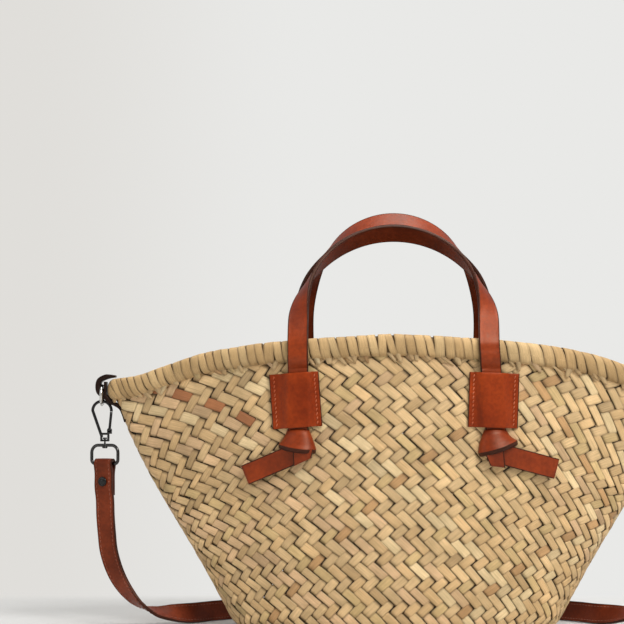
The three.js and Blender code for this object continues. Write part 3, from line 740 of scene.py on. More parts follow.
@dataclass
class Finishes:
    """Every material of the bag, made once."""

    straw: bpy.types.Material = None
    core: bpy.types.Material = None
    leather: bpy.types.Material = None
    patch: bpy.types.Material = None
    underside: bpy.types.Material = None
    strap: bpy.types.Material = None
    paint: bpy.types.Material = None
    loop: bpy.types.Material = None
    thread: bpy.types.Material = None
    seam: bpy.types.Material = None
    hook: bpy.types.Material = None
    gunmetal: bpy.types.Material = None
    nickel: bpy.types.Material = None

    def __post_init__(self) -> None:
        """Makes the materials."""
        self.straw = StrawFinish().make()
        # Painted shade: the rim's real core takes this straw darkened to 0.4, for the shade deep between
        # the wraps.
        self.core = StrawFinish(name="palm_core", brightness=0.4, roughness=0.8).make()
        self.leather = LeatherFinish(deep=(108, 32, 4), warm=(142, 50, 10), sheen=0.5).make()
        self.patch = LeatherFinish(name="patch_leather").make()
        # Painted shade: a darker copy of the leather for the handles' undersides, for the shade that falls
        # on them.
        self.underside = LeatherFinish(
            name="leather_underside", deep=(84, 26, 8), warm=(112, 42, 16), roughness=0.6, coat=0.0
        ).make()
        self.strap = LeatherFinish(
            name="strap_leather", deep=(96, 34, 14), warm=(128, 52, 26), coat=0.02
        ).make()
        self.paint = LeatherFinish(
            name="edge_paint", deep=(44, 18, 12), warm=(66, 28, 18), roughness=0.45, grain=0.1, coat=0.03
        ).make()
        self.loop = LeatherFinish(
            name="dark_leather", deep=(20, 12, 11), warm=(34, 21, 19), roughness=0.45, grain=0.1, sheen=0.2
        ).make()
        self.thread = LeatherFinish(
            name="waxed_thread", deep=(164, 78, 48), warm=(204, 116, 82), roughness=0.5, grain=0.4, coat=0.0
        ).make()
        self.seam = LeatherFinish(
            name="seam_thread", deep=(124, 70, 54), warm=(158, 98, 80), roughness=0.5, grain=0.4, coat=0.0
        ).make()
        self.hook = MetalFinish("dark_hook", (0.045, 0.044, 0.043), 0.14).make()
        self.gunmetal = MetalFinish("gunmetal", (0.07, 0.068, 0.066), 0.15).make()
        self.nickel = MetalFinish("nickel", (0.72, 0.71, 0.68), 0.18).make()


@dataclass
class WovenBasket:
    """Wall and base plaited two over, two under from palm strips.

    The wall's rows of floats lie square to its slanted sides, so on the broad sides they bend down towards
    the corners. A float is the stretch of a strip that lies on top between two dives.
    """

    form: BasketForm
    finishes: Finishes
    strips: int = 78
    rows: float = 21.5
    corner_rows: float = 6.0
    crowding: float = 0.37
    row_bend: tuple = (0.15, 0.58, 0.8)
    float_rise: float = 0.66
    left_bias: float = 0.2
    strip_thickness: float = 0.85
    crown: float = 0.4
    pieces: int = 4
    palette: tuple = (
        ((211, 182, 140), 0.36),
        ((204, 173, 130), 0.32),
        ((201, 175, 129), 0.12),
        ((209, 177, 140), 0.1),
        ((220, 197, 157), 0.06),
        ((188, 150, 107), 0.04),
    )
    corner_relief: float = 0.4
    rust: tuple = (172, 114, 76)
    rust_strip: int = 8
    rust_row: float = 17.7

    def locate(self, column: np.ndarray, row: np.ndarray, inset: float) -> tuple:
        """Point of the woven wall and where it lies on the bag's broad side.

        Args:
            column: Place round the bag, in strips.
            row: Place up the wall, in rows.
            inset: How far inside the wall's outside.

        Returns:
            Points, their shares of the half length, and their heights above the floor line before the
            strips fold under the base.
        """
        height = np.maximum(row / self.rows, 0.0)
        turn = column / self.strips
        crowding = self.crowding * (1 - np.minimum(height, 1)) ** 1.62
        rise = self.form.wall_top(np.zeros(1))[0]
        start, gain, limit = self.row_bend
        bend = start + gain * np.minimum(height, limit)
        level = np.minimum(height, 1) * self.form.top_share
        for _ in range(5):
            plan = self.form.plan(level, inset)
            x, _ = self.form.around(plan, turn, crowding)
            share = np.minimum(np.abs(x) / plan[0], 1)
            sag = plan[0] / bend * (1 - np.sqrt(1 - (share * bend) ** 2))
            raw = height * rise - sag
            z = np.maximum(raw, 0)
            level = 0.5 * level + 0.5 * z / self.form.wall_top(share) * self.form.top_share
        edge = self.form.base_edge
        low = np.clip(1 - z / edge, 0, 1)
        tuck = edge * (1 - np.sqrt(1 - low**2)) + np.maximum(-raw, 0)
        plan = self.form.plan(level, inset + tuck)
        x, y = self.form.around(plan, turn, crowding)
        return np.stack([x, y, z], -1), share, raw

    def surface(self, column: np.ndarray, row: np.ndarray, inset: float) -> np.ndarray:
        """Point of the woven wall, with the arguments of locate."""
        return self.locate(column, row, inset)[0]

    def wave(self, row: np.ndarray) -> np.ndarray:
        """Rise of the strips that lean right, by row; the others lie the other way."""
        beat = np.cos(np.pi * (row + 0.25)) - self.left_bias
        return self.float_rise * (0.95 * np.tanh(4.5 * beat) + 0.1 * beat)

    def tones(self, rng: np.random.Generator, count: int) -> np.ndarray:
        """Base colours of strips, drawn from the palette."""
        colours = np.array([linear(*c)[:3] for c, _ in self.palette])
        weights = np.array([w for _, w in self.palette])
        picked = colours[rng.choice(len(colours), count, p=weights / weights.sum())]
        return picked * rng.normal(1.0, 0.045, (count, 1))

    def colours(
        self, rng: np.random.Generator, lean: int, row: np.ndarray, across: np.ndarray, lift: np.ndarray
    ) -> np.ndarray:
        """Colours of every corner of a set of strips, with painted shade where a strip dives under its
        neighbours and along its edges.

        Args:
            rng: Source of the variation.
            lean: Lean of the set.
            row: Rows of the corners.
            across: Places across the strip, from -1 to 1.
            lift: How far the strip stands out on the side that each corner faces.

        Returns:
            Colours, one for each corner.
        """
        shape = (self.strips, 1, 1)
        tone = self.tones(rng, self.strips)
        drift = 1 + 0.06 * np.sin(row * rng.uniform(0.4, 1.6, shape) + rng.uniform(0, 6.3, shape))
        floats = rng.normal(1.0, 0.075, (self.strips, 64))
        number = np.floor(row[0, :, 0] + 0.75).astype(int)
        drift = drift * floats[:, number, None]
        # Painted shade: the strip's random tone is darkened and made browner where it dives under its
        # neighbours, and darkened along its edges, for the shade in the gaps of the weave.
        sunk_shade = np.clip(0.5 - 0.55 * lift / self.float_rise, 0, 1)
        shade = drift * (1 - 0.93 * sunk_shade) * (1 - 0.55 * np.abs(across) ** 12)
        tint = np.repeat(tone[:, None, :], row.shape[1], 1)
        if lean < 0:
            tint[self.rust_strip, row[0, :, 0] > self.rust_row] = linear(*self.rust)[:3]
        colour = tint[:, :, None, :] * shade[..., None]
        return colour * np.array([1, 1 - 0.05, 1 - 0.14]) ** sunk_shade[..., None]

    def strip_set(self, name: str, lean: int) -> list:
        """Plaits all the strips of one lean round the wall.

        Args:
            name: Name of the pieces.
            lean: 1 for strips that rise towards +X on the front, -1 for the others.

        Returns:
            The pieces, each with its share of the strips.
        """
        rng = np.random.default_rng(SEED + lean)
        shape = (self.strips, 1, 1)
        beats = np.array([0, 0.07, 0.16, 0.32, 0.5, 0.68, 0.84, 0.93])
        row = (np.arange(int(self.rows + self.corner_rows))[:, None] + 0.25 + beats).ravel()
        row = np.concatenate([[0.0, 0.12], row])[None, :, None]
        number = np.arange(self.strips)[:, None, None]
        wiggle = 0.05 * np.sin(row * rng.uniform(0.5, 1.3, shape) + rng.uniform(0, 6.3, shape))
        column = number + 0.5 + lean * row + wiggle
        rows_full = np.broadcast_to(row, column.shape)
        middle = self.form.wall / 2
        _, share, raw = self.locate(column, rows_full, middle)
        on_top = np.abs(self.wave(rows_full)) / self.float_rise
        corner = np.clip((share - 0.8) / 0.15, 0, 1)
        swell = 1 + 0.05 * np.sin(row * rng.uniform(0.8, 2.2, shape) + rng.uniform(0, 6.3, shape))
        fill = rng.uniform(0.92, 1.05, shape) * swell * (1 - 0.04 * corner)
        fill = fill * (0.84 + 0.16 * np.clip(on_top, 0, 1) ** 0.7)
        across = np.array([-1, -0.93, -0.6, 0, 0.6, 0.93, 1, 0.9, -0.9])[None, None, :]
        upper = np.array([0, 0.75, 0.97, 1, 0.97, 0.75, 0, 0, 0])[None, None, :]
        under = np.array([0, 0, 0, 0, 0, 0, 0, 1, 1])[None, None, :]
        shift = 0.25 * fill * across
        points = self.surface(column + shift, np.clip(row - lean * shift, 0, None), middle)
        e = 0.05
        du = self.surface(column + e, rows_full, middle) - self.surface(column - e, rows_full, middle)
        above = self.surface(column, rows_full + e, middle)
        below = self.surface(column, np.maximum(rows_full - e, 0), middle)
        normal = unit(np.cross(du, above - below))
        lift = lean * self.wave(rows_full) * rng.uniform(0.85, 1.15, shape)
        lift = lift * (1 + self.corner_relief * corner)
        skin = lift + upper * (self.crown + self.strip_thickness / 2) - under * self.strip_thickness / 2
        tilt = 0.2 * np.sin(row * 1.7 + number * 2.3) * across * (1 - under)
        grid = points + normal * (skin + tilt)[..., None]
        grid[..., 2] = np.maximum(grid[..., 2], 0.15)
        # The lift is turned over on the inner faces, so the painted shade falls on the parts sunk on each
        # face.
        colour = self.colours(rng, lean, row, across, lift * (1 - 2 * under))
        run = np.broadcast_to(row * 15.3, skin.shape) + number * 37.7
        uv = np.stack([run, np.broadcast_to(across * 3.6, skin.shape) + number * 11.3], -1)
        keep = (raw > -8) & (raw < self.form.wall_top(share) + 6)
        pieces = []
        for first in range(self.pieces):
            parts = MeshParts()
            for i in range(first, self.strips, self.pieces):
                shown = np.flatnonzero(keep[i, :, 0])
                part = slice(shown[0], shown[-1] + 1)
                parts.add_grid(grid[i, part], uv=uv[i, part], tone=colour[i, part])
            piece = parts.build(f"{name}_{first + 1}", [self.finishes.straw], toned=True)
            pieces.append(fasten(piece, "root", "basket_body"))
        return pieces

    def base(self) -> bpy.types.Object:
        """Plaits the flat base and returns it."""
        rng = np.random.default_rng(SEED + 5)
        pitch = 10.8
        width = pitch / math.sqrt(2)
        plan = self.form.plan(np.zeros(1), 3.2)
        length, depth, corner = (float(v[0]) for v in plan)
        radius, reach = (float(v[0]) for v in self.form.arcs(plan))

        def inside(x: np.ndarray, y: np.ndarray) -> np.ndarray:
            """Whether places lie on the base."""
            x, y = np.abs(x), np.abs(y)
            on_long = x / np.maximum(y + radius - depth, 1e-6) < math.tan(reach)
            by_long = np.hypot(x, y + radius - depth) <= radius
            by_corner = np.hypot(x - (length - corner), y) <= corner
            return np.where(on_long, by_long, by_corner)

        parts = MeshParts()
        middle = self.strip_thickness / 2 + self.float_rise + 0.5
        count = int(2 * length / pitch) + 4
        for lean in (1, -1):
            tones = self.tones(rng, 2 * count + 1)
            for i in range(-count, count + 1):
                row = np.arange(-7, 7.001, 0.125)
                x = (i + 0.5 + lean * row) * pitch
                y = row * pitch
                keep = inside(x, y)
                if keep.sum() < 3:
                    continue
                row, x, y = row[keep], x[keep], y[keep]
                across = np.array([-1, -0.8, 0, 0.8, 1, 0.8, 0, -0.8])
                side = np.array([1, -lean]) / math.sqrt(2)
                lift = lean * self.wave(row)
                skin = np.array([0, 0.6, 0.8, 0.6, 0, -0.6, -0.8, -0.6]) * 0.75
                grid = np.zeros((len(row), len(across), 3))
                grid[..., 0] = x[:, None] + across * side[0] * width * 0.46
                grid[..., 1] = y[:, None] + across * side[1] * width * 0.46
                grid[..., 2] = middle + 0.5 * lift[:, None] + skin
                tone = tones[i + count] * 0.86
                run = np.broadcast_arrays(row[:, None] * 15.3 + i * 31.0, across * 3.6 + i * 7.0)
                parts.add_grid(grid, uv=np.stack(run, -1), tone=np.broadcast_to(tone, grid.shape))
        piece = parts.build("woven_base", [self.finishes.straw], toned=True)
        return fasten(piece, "root", "basket_body")

    def make(self) -> list:
        """Builds the wall's two sets of strips and the base."""
        return [*self.strip_set("woven_right", 1), *self.strip_set("woven_left", -1), self.base()]


@dataclass
class WoundRim:
    """Roll along the mouth, wound with palm strips over a straw core."""

    form: BasketForm
    finishes: Finishes
    weave: WovenBasket
    wraps: int = 138
    wide_wrap: float = 1.3
    squareness: float = 0.8
    wrap_thickness: float = 0.7
    crown: float = 0.34
    palette: tuple = ((196, 165, 120), (184, 153, 109), (205, 176, 132))
    lean: float = 0.16
    corner_lean: float = 0.75

    def frame(self, turn: np.ndarray) -> tuple:
        """Middle of the roll and its outward direction at a share of the way round."""
        plan = self.form.plan(np.ones_like(turn), self.form.wall / 2)
        x, y = self.form.around(plan, turn)
        ahead = np.stack(self.form.around(plan, turn + 1e-4), -1)
        behind = np.stack(self.form.around(plan, turn - 1e-4), -1)
        along = unit(ahead - behind)
        out = np.stack([along[..., 1], -along[..., 0]], -1)
        z = self.form.rim_line(x / plan[0])
        return np.stack([x, y, z], -1), out

    def skin(self, turn: np.ndarray, angle: np.ndarray, lift: np.ndarray) -> np.ndarray:
        """Point on the roll.

        Args:
            turn: Share of the way round the mouth.
            angle: Angle round the roll, from its outside upwards.
            lift: Distance from the roll's surface.

        Returns:
            Points.
        """
        middle, out = self.frame(turn)
        side, height = np.cos(angle), np.sin(angle)
        away = (self.form.rim_thick / 2 + lift) * np.sign(side) * np.abs(side) ** self.squareness
        up = (self.form.rim_tall / 2 + lift) * np.sign(height) * np.abs(height) ** self.squareness
        return middle + np.stack([out[..., 0] * away, out[..., 1] * away, up], -1)

    def core(self) -> bpy.types.Object:
        """Straw core of the roll, darkened as painted shade where it shows between the wraps."""
        turn = np.linspace(0, 1, 360, endpoint=False)[:, None]
        angle = np.linspace(0, 2 * np.pi, 20, endpoint=False)[None, :]
        turn, angle = np.broadcast_arrays(turn, angle)
        grid = self.skin(turn, angle, np.full(turn.shape, -1.25))
        parts = MeshParts()
        # Painted shade: the core's tone is a dark brown, for the shade between the wraps.
        tone = np.broadcast_to(np.array(linear(150, 118, 74)[:3]), grid.shape)
        parts.add_grid(grid, ring=True, uv=np.stack([turn * 900, angle * 8], -1), tone=tone)
        piece = parts.build("rim_core", [self.finishes.core], toned=True)
        return fasten(piece, "root", "rim")

    def windings(self) -> bpy.types.Object:
        """Strips wound round the roll, each with its own tone, width and lean."""
        rng = np.random.default_rng(SEED + 11)
        parts = MeshParts()
        angle = np.linspace(0, 2 * np.pi, 30, endpoint=False)[:, None]
        across = np.array([-1, -0.92, -0.55, 0.55, 0.92, 1, 0.8, -0.8])[None, :]
        upper = np.array([0.05, 0.72, 0.98, 0.98, 0.72, 0.05, 0, 0])[None, :]
        under = np.array([0, 0, 0, 0, 0, 0, 1, 1])[None, :]
        colours = np.array([linear(*c)[:3] for c in self.palette])
        tones = colours[rng.choice(len(colours), self.wraps, p=[0.6, 0.25, 0.15])]
        tones = tones * rng.normal(1.0, 0.045, (self.wraps, 1))
        way_round = 2 * 440.0
        middles = (np.arange(self.wraps) + 0.5) / self.wraps
        wide = (middles > 0.09) & (middles < 0.2)
        bunched = (1 - np.abs(((middles * 4) % 2) - 1)) ** 3
        widths = 1 + (self.wide_wrap - 1) * wide - 0.32 * bunched + rng.normal(0, 0.09, self.wraps)
        ends = np.concatenate([[0], np.cumsum(widths)]) / widths.sum()
        for i in range(self.wraps):
            turn, half = (ends[i] + ends[i + 1]) / 2, rng.uniform(0.46, 0.51) * (ends[i + 1] - ends[i])
            to_corner = abs(((turn * 4) % 2) - 1)
            lean = self.lean + (self.corner_lean - self.lean) * (1 - to_corner) ** 3 + rng.normal(0, 0.06)
            slant = -lean * (self.form.rim_tall / 2) * np.sin(angle) / way_round
            place = turn + slant + half * across + 0 * angle
            lift = -0.5 + upper * self.crown * rng.uniform(0.85, 1.15) - under * self.wrap_thickness
            lift = lift + rng.normal(0, 0.1) * across * (1 - under) + 0.12 * np.sin(3 * angle + i)
            grid = self.skin(place, angle + 0 * place, lift + 0 * place)
            # Painted light and shade: each wrap darkens towards its edges and on its inner face, and is
            # lighter on top of the roll and darker below it.
            shade = (1 - 0.5 * np.abs(across) ** 8) * (0.95 + 0.08 * np.sin(angle)) * (1 - 0.35 * under)
            tone = tones[i] * shade[..., None]
            uv = np.stack(np.broadcast_arrays(angle * 7 + i * 19.0, across * 3.4 + i * 5.0), -1)
            parts.add_grid(grid, ring=True, uv=uv, tone=tone)
        piece = parts.build("rim_windings", [self.finishes.straw], toned=True)
        return fasten(piece, "root", "rim")

    def ends(self) -> bpy.types.Object:
        """Cut strip ends that stand out raggedly under the roll."""
        rng = np.random.default_rng(SEED + 13)
        parts = MeshParts()
        count = self.wraps
        tones = self.weave.tones(rng, count)
        for i in range(count):
            if rng.random() < 0.2:
                continue
            turn = (i + rng.uniform(0.2, 0.8)) / count
            length = rng.uniform(3.0, 7.5)
            drift = rng.normal(0.5, 0.5) * length / 880
            share = np.linspace(0, 1, 5)[:, None]
            across = np.array([-1, 0, 1, 1, 0, -1])[None, :]
            through = np.array([0.35, 0.6, 0.35, -0.35, -0.35, -0.35])[None, :]
            half = rng.uniform(1.6, 2.9) * (1 - 0.55 * share**2)
            place = turn + drift * share + half * across / 880
            middle, out = self.frame(place)
            away = 2.9 - 1.1 * share + through + rng.uniform(-0.2, 0.5)
            down = self.form.rim_tall / 2 - 2.5 + length * share
            shift = np.stack([out[..., 0] * away, out[..., 1] * away, -down + 0 * away], -1)
            grid = middle + shift
            # Painted shadow: the ends are darkened, most where they leave the roll, for the shadow under
            # the roll.
            tone = np.broadcast_to(tones[i] * 0.8, grid.shape) * (1 - 0.25 * (1 - share[..., None]))
            uv = np.stack(np.broadcast_arrays(share * 6 + i * 3.0, across * 2.5 + i * 2.0), -1)
            parts.add_grid(grid, uv=uv, tone=tone)
        piece = parts.build("rim_strip_ends", [self.finishes.straw], toned=True)
        return fasten(piece, "root", "rim")

    def make(self) -> list:
        """Builds the core, the windings and the cut ends."""
        return [self.core(), self.windings(), self.ends()]


@dataclass(frozen=True)
class Fastening:
    """One end of a handle: where the strap runs, how its patch is turned and how its knot lies."""

    side: Side
    foot_shift: float
    patch_shift: float
    patch_turn: float
    knot_turn: float
    knot_spread: float
    tail_drop: float
    tail_length: float
    fold: tuple


@dataclass
class Handle:
    """A leather strap over the rim, knotted below a stitched patch at each end."""

    form: BasketForm
    finishes: Finishes
    face: Face
    arch_top: float
    width: float = 14.8
    thickness: float = 3.0
    half_span: float = 67.9
    middle: float = -1.1
    meet: float = 8.0
    straight: float = 0.17
    patch_width: float = 35.8
    patch_tall: float = 39.0
    patch_thickness: float = 1.8
    patch_height: float = 164.1
    knot_gap: float = 1.2
    knot_tall: float = 15.5
    knot_depth: float = 9.5
    tail_below: float = 16.4
    stitches: int = 12
    stitch_inset: float = 3.3
    stitch_lean: float = 0.45
    roll_rows: tuple = (
        (0, 0, 0),
        (0.17, 12, 6),
        (0.4, 45, 22),
        (0.55, 69, 40),
        (0.7, 84, 66),
        (0.85, 93, 88),
        (1, 102, 102),
    )
    fastenings: tuple = (
        Fastening(
            side=Side.LEFT,
            foot_shift=0.0,
            patch_shift=0.125,
            patch_turn=4.0,
            knot_turn=-8.0,
            knot_spread=13.7,
            tail_drop=23.0,
            tail_length=41.5,
            fold=((-3.8, 3.9), (11.1, 1.3), (9.5, -5.0), (-3.2, -10.7)),
        ),
        Fastening(
            side=Side.RIGHT,
            foot_shift=0.31,
            patch_shift=0.015,
            patch_turn=-2.0,
            knot_turn=18.0,
            knot_spread=14.8,
            tail_drop=15.0,
            tail_length=45.0,
            fold=((-7.2, -3.2), (5.5, 2.5), (6.75, -11.7), (-4.05, -10.4)),
        ),
    )

    @property
    def knot_top(self) -> float:
        """Height of the knots' upper edge."""
        return self.patch_height - self.patch_tall / 2 - self.knot_gap

    def leg_x(self, end: Fastening, height: np.ndarray) -> np.ndarray:
        """Place of the strap's middle along the bag, from the knot up to the rim."""
        top = float(self.form.rim_line(np.zeros(1))[0])
        to_foot = np.maximum((top - np.asarray(height, float)) / (top - self.knot_top), 0)
        return self.middle + end.side.value * (self.half_span + end.foot_shift * self.width * to_foot)

    def on_wall(self, x: np.ndarray, z: np.ndarray, lift: np.ndarray) -> np.ndarray:
        """Points at a distance from the wall's outside on this side of the bag."""
        depth = self.form.wall_depth(x, z) + lift
        return np.stack(np.broadcast_arrays(x, self.face.value * depth, z), -1)

    def lying(self, way: np.ndarray, x: float, z: float) -> np.ndarray:
        """A direction in the front plane, bent to lie on the wall."""
        one = self.on_wall(np.array(x - way[0]), np.array(z - way[1]), 0.0)
        two = self.on_wall(np.array(x + way[0]), np.array(z + way[1]), 0.0)
        return unit(two - one)

    def path(self) -> tuple:
        """Middles and across directions of the whole strap, from knot to knot."""
        form = self.form
        share_at_leg = np.array([self.half_span / form.rim_half_length])
        stand_top = float(form.rim_line(share_at_leg)[0]) + form.rim_tall / 2
        nearer_leg = self.half_span - abs(self.middle)
        stand_y = form.rim_depth(nearer_leg) + form.rim_thick / 2 + form.seat + self.thickness / 2
        lean = np.array([0, self.meet - stand_y, self.arch_top - stand_top])
        rise = float(np.linalg.norm(lean))
        lean = lean / rise
        outward = np.array([0, lean[2], -lean[1]])
        sign = self.face.value

        def leg(end: Fastening) -> list:
            """Middles and directions of one leg, from its knot up over the rim's side."""
            rows = []
            low, high = self.knot_top - self.knot_tall / 2, self.patch_height + self.patch_tall / 2 + 3.5
            inward = -end.side.value
            for share in (0, 0.2, 0.4, 0.6, 0.8, 0.95, 1):
                z = low + (high - low) * share
                x = float(self.leg_x(end, z))
                y = float(form.wall_depth(x, z)) + 2 * form.seat + self.thickness / 2
                way = self.lying(np.array([inward, 0.0]), x, z)
                rows.append(([x, y, z], [way[0], way[1] * sign, way[2]]))
            slope = (form.rim_depth(self.half_span + 1) - form.rim_depth(self.half_span - 1)) / 2
            for share in (-0.32, 0, 0.32):
                z = float(form.rim_line(share_at_leg)[0]) + share * form.rim_tall
                x = float(self.leg_x(end, z))
                rows.append(([x, stand_y, z], [inward, -slope, 0]))
            return rows

        rows = leg(self.fastenings[0])
        steps = 26
        for i in range(steps + 1):
            angle = math.pi * i / steps
            share = self.straight + (1 - self.straight) * math.sin(angle)
            climb = math.cos(angle) * (1 - self.straight) * rise
            inward = unit(np.array([climb, -math.sin(angle) * self.half_span]))
            column = 1 if self.face is Face.FRONT else 2
            roll = math.radians(float(smooth_table(self.roll_rows, column, share)))
            across = np.array([inward[0] * math.cos(roll), 0, 0])
            across = across + lean * inward[1] * math.cos(roll) + outward * math.sin(roll)
            x = self.middle - self.half_span * math.cos(angle)
            middle = np.array([x, stand_y, stand_top]) + lean * rise * share
            rows.append((middle, across))
        rows += leg(self.fastenings[1])[::-1]
        flip = np.array([1, sign, 1])
        middles = np.array([row[0] for row in rows]) * flip
        acrosses = np.array([row[1] for row in rows]) * flip
        steps = 5 * (len(rows) - 1)
        return smoothed(middles, steps), smoothed(acrosses, steps)

    def knot(self, parts: MeshParts, end: Fastening) -> None:
        """Adds a knot: a flared band round the strap, the cut tail and the fold beside it.

        Args:
            parts: Where the knot goes.
            end: Which end of the handle.
        """
        x0 = float(self.leg_x(end, self.knot_top))
        z0 = self.knot_top - self.knot_tall / 2
        turn = math.radians(end.knot_turn)
        rows = 18
        skin = 2.6
        lip = ((0.5, -0.1, 0.0), (2.5, 0.5, 0.3), (3.0, 1.7, 0.9))
        tall = self.knot_tall - lip[-1][0]
        down = np.linspace(0, 1, rows)
        flare = [0.0, 0.17, 0.45, 0.77, 1.0]
        half = 7.8 + (end.knot_spread - 7.8) * np.interp(down, [0, 0.2, 0.5, 0.8, 1], flare)
        deep = self.knot_depth * np.interp(down, [0, 0.2, 0.5, 0.8, 1], [0.5, 0.68, 0.8, 0.94, 1.1])
        angle = np.radians(np.linspace(-8, 188, 33))

        def place(u: np.ndarray, share: float, reach: float, out: np.ndarray, drop: float) -> np.ndarray:
            """Points of a ring of the band, turned with the knot."""
            bend = turn * share
            v = self.knot_tall / 2 - tall * share - drop - 1.2 * share * (1 - (u / reach) ** 2)
            x = x0 + u * math.cos(bend) - v * math.sin(bend)
            z = z0 + u * math.sin(bend) + v * math.cos(bend)
            return self.on_wall(x, z, out)

        outer, inner = [], []
        for s, h, d in zip(down, half, deep):
            u = h * np.cos(angle)
            out = 0.6 + d * np.maximum(np.sin(angle), -0.1)
            outer.append(place(u, s, h, out, 0.0))
            inner.append(place(u * (h - skin) / h, s, h, np.maximum(out - skin, 0.3), 0.0))
        low = [
            place(u * (h - narrower) / h, 1.0, h, np.maximum(out - back, 0.3), drop)
            for drop, back, narrower in lip
        ]
        top_lip = (outer[0] + inner[0]) / 2 + UP * 0.5
        loop = np.array([top_lip, *outer, *low, *inner[::-1]])
        skins = [Skin.EDGE.value] + [Skin.GRAIN.value] * (rows - 1) + [Skin.EDGE.value] * (len(lip) + 1)
        skins += [Skin.GRAIN.value] * (rows - 1) + [Skin.EDGE.value]
        grid = loop.transpose(1, 0, 2)
        parts.add_grid(grid, skins=skins, uv=grid[..., [0, 2]])
        self.tail(parts, end, x0)
        self.fold(parts, end, x0)

    def tail(self, parts: MeshParts, end: Fastening, x0: float) -> None:
        """Adds the strap's cut end, which leaves the knot sideways."""
        side = end.side.value
        drop = math.radians(end.tail_drop)
        way = np.array([side * math.cos(drop), -math.sin(drop)])
        across = np.array([-way[1], way[0]]) * side
        hidden = 4.0
        share = np.linspace(0, 1, 24)
        along = -hidden + (end.tail_length + hidden) * share
        x = x0 + way[0] * along
        z = self.knot_top - self.tail_below + way[1] * along
        rise = self.thickness * (0.9 - 0.6 * np.sin(np.pi * share**0.8))
        lift = self.form.seat * 2 + self.thickness / 2 + rise
        middles = self.on_wall(x, z, lift)
        acrosses = np.array([self.lying(across, float(a), float(b)) for a, b in zip(x, z)])
        sweep(parts, middles, acrosses, strap_section(self.width, self.thickness))

    def fold(self, parts: MeshParts, end: Fastening, x0: float) -> None:
        """Adds the folded corner of the strap that lies over the tail, under the band."""
        corners = np.array(end.fold, float) + [x0, self.knot_top - self.knot_tall]
        thick = self.thickness
        rows = []
        for s in np.linspace(0, 1, 9):
            a = corners[0] * (1 - s) + corners[3] * s
            b = corners[1] * (1 - s) + corners[2] * s
            width = max(float(np.linalg.norm(b - a)), 3.0)
            offsets, skins = strap_section(width, thick, crown=0.3)
            flat = (a + b) / 2 + (b - a) * (offsets[:, :1] / width)
            lift = 0.6 + thick * 1.75 + 1.2 * (1 - s) + offsets[:, 1]
            rows.append(self.on_wall(flat[:, 0], flat[:, 1], lift))
        grid = np.array(rows)
        parts.add_grid(grid, skins=skins, uv=grid[..., [0, 2]])

    def strap(self) -> bpy.types.Object:
        """Builds the strap with both knots."""
        middles, acrosses = self.path()
        parts = MeshParts()
        section = strap_section(self.width, self.thickness, under=self.face.value)
        sweep(parts, middles, acrosses, section)
        for end in self.fastenings:
            self.knot(parts, end)
        skins = [self.finishes.leather, self.finishes.paint, self.finishes.underside]
        piece = parts.build(f"leather_handle_{self.face.word}", skins)
        return fasten(piece, "root", f"handle_{self.face.word}")

    def patch(self, end: Fastening) -> list:
        """Builds a stitched patch over the strap and its two rows of stitches."""
        turn = math.radians(end.patch_turn)
        centre_x = float(self.leg_x(end, self.patch_height)) + end.side.value * end.patch_shift * self.width
        seat = self.form.seat
        rise = self.thickness + 4 * seat
        foot, slope = 13.6, 6.4
        edge = self.patch_width / 2

        def placed(u: np.ndarray, v: np.ndarray, extra: np.ndarray) -> np.ndarray:
            """Points of the patch over the bulge that the strap makes."""
            z = self.patch_height + u * math.sin(turn) + v * math.cos(turn)
            x = centre_x + u * math.cos(turn) - v * math.sin(turn)
            over = (self.leg_x(end, self.patch_height + v) - centre_x + v * math.sin(turn)) / math.cos(turn)
            t = np.clip((foot - np.abs(u - over)) / slope, 0, 1)
            lift = rise * t * t * (3 - 2 * t) + 1.0 * np.maximum(1 - ((u - over) / foot) ** 2, 0)
            return self.on_wall(x, z, seat + lift + extra)

        parts = MeshParts()
        fine = np.linspace(-edge + 0.6, edge - 0.6, 33)
        half = self.patch_thickness / 2
        top = [(u, 2 * half) for u in fine]
        low = [(u, 0.0) for u in fine[::-1]]
        right = [(edge - 0.17, 2 * half - 0.17), (edge, half), (edge - 0.17, 0.17)]
        left = [(-edge + 0.17, 0.17), (-edge, half), (-edge + 0.17, 2 * half - 0.17)]
        outline = np.array(top + right + low + left)
        skins = [Skin.GRAIN.value] * (len(top) - 1) + [Skin.EDGE.value] * 4
        skins += [Skin.GRAIN.value] * (len(low) - 1) + [Skin.EDGE.value] * 4
        tall = self.patch_tall / 2
        inner = np.linspace(-tall + 0.6, tall - 0.6, 25)
        rows = np.concatenate([[-tall, -tall + 0.2], inner, [tall - 0.2, tall]])
        u, v = np.broadcast_arrays(outline[None, :, 0], rows[:, None])
        pinch = np.clip((np.abs(v) - tall + 0.6) / 0.6, 0, 1)
        groove = 0.32 * np.exp(-(((np.abs(u) - edge + self.stitch_inset) / 0.75) ** 2))
        level = outline[None, :, 1]
        extra = half + (level - half) * (1 - 0.45 * pinch**2) - groove * (level > half)
        grid = placed(u, v, extra)
        parts.add_grid(grid, skins=skins, uv=np.stack([u, v], -1))
        name = f"{self.face.word}_{end.side.word}"
        piece = parts.build(f"leather_patch_{name}", [self.finishes.patch, self.finishes.paint])
        thread = MeshParts()
        pitch = (self.patch_tall - 2.4) / self.stitches
        for way in (-1, 1):
            u0 = way * (edge - self.stitch_inset)
            for i in range(self.stitches):
                v0 = -tall + 1.2 + pitch * (i + 0.14)
                v1 = v0 + pitch * 0.74
                height = np.array(self.patch_thickness - 0.2)
                one = placed(np.array(u0 - self.stitch_lean), np.array(v0), height)
                two = placed(np.array(u0 + self.stitch_lean), np.array(v1), height)
                stitch(thread, one, two, np.array([0, float(self.face.value), 0]), 0.5)
        seam = thread.build(f"patch_stitches_{name}", [self.finishes.thread])
        return [fasten(piece, "root", f"tab_{name}"), fasten(seam, "root")]

    def make(self) -> list:
        """Builds the strap, its patches and their stitches."""
        return [self.strap()] + [piece for end in self.fastenings for piece in self.patch(end)]


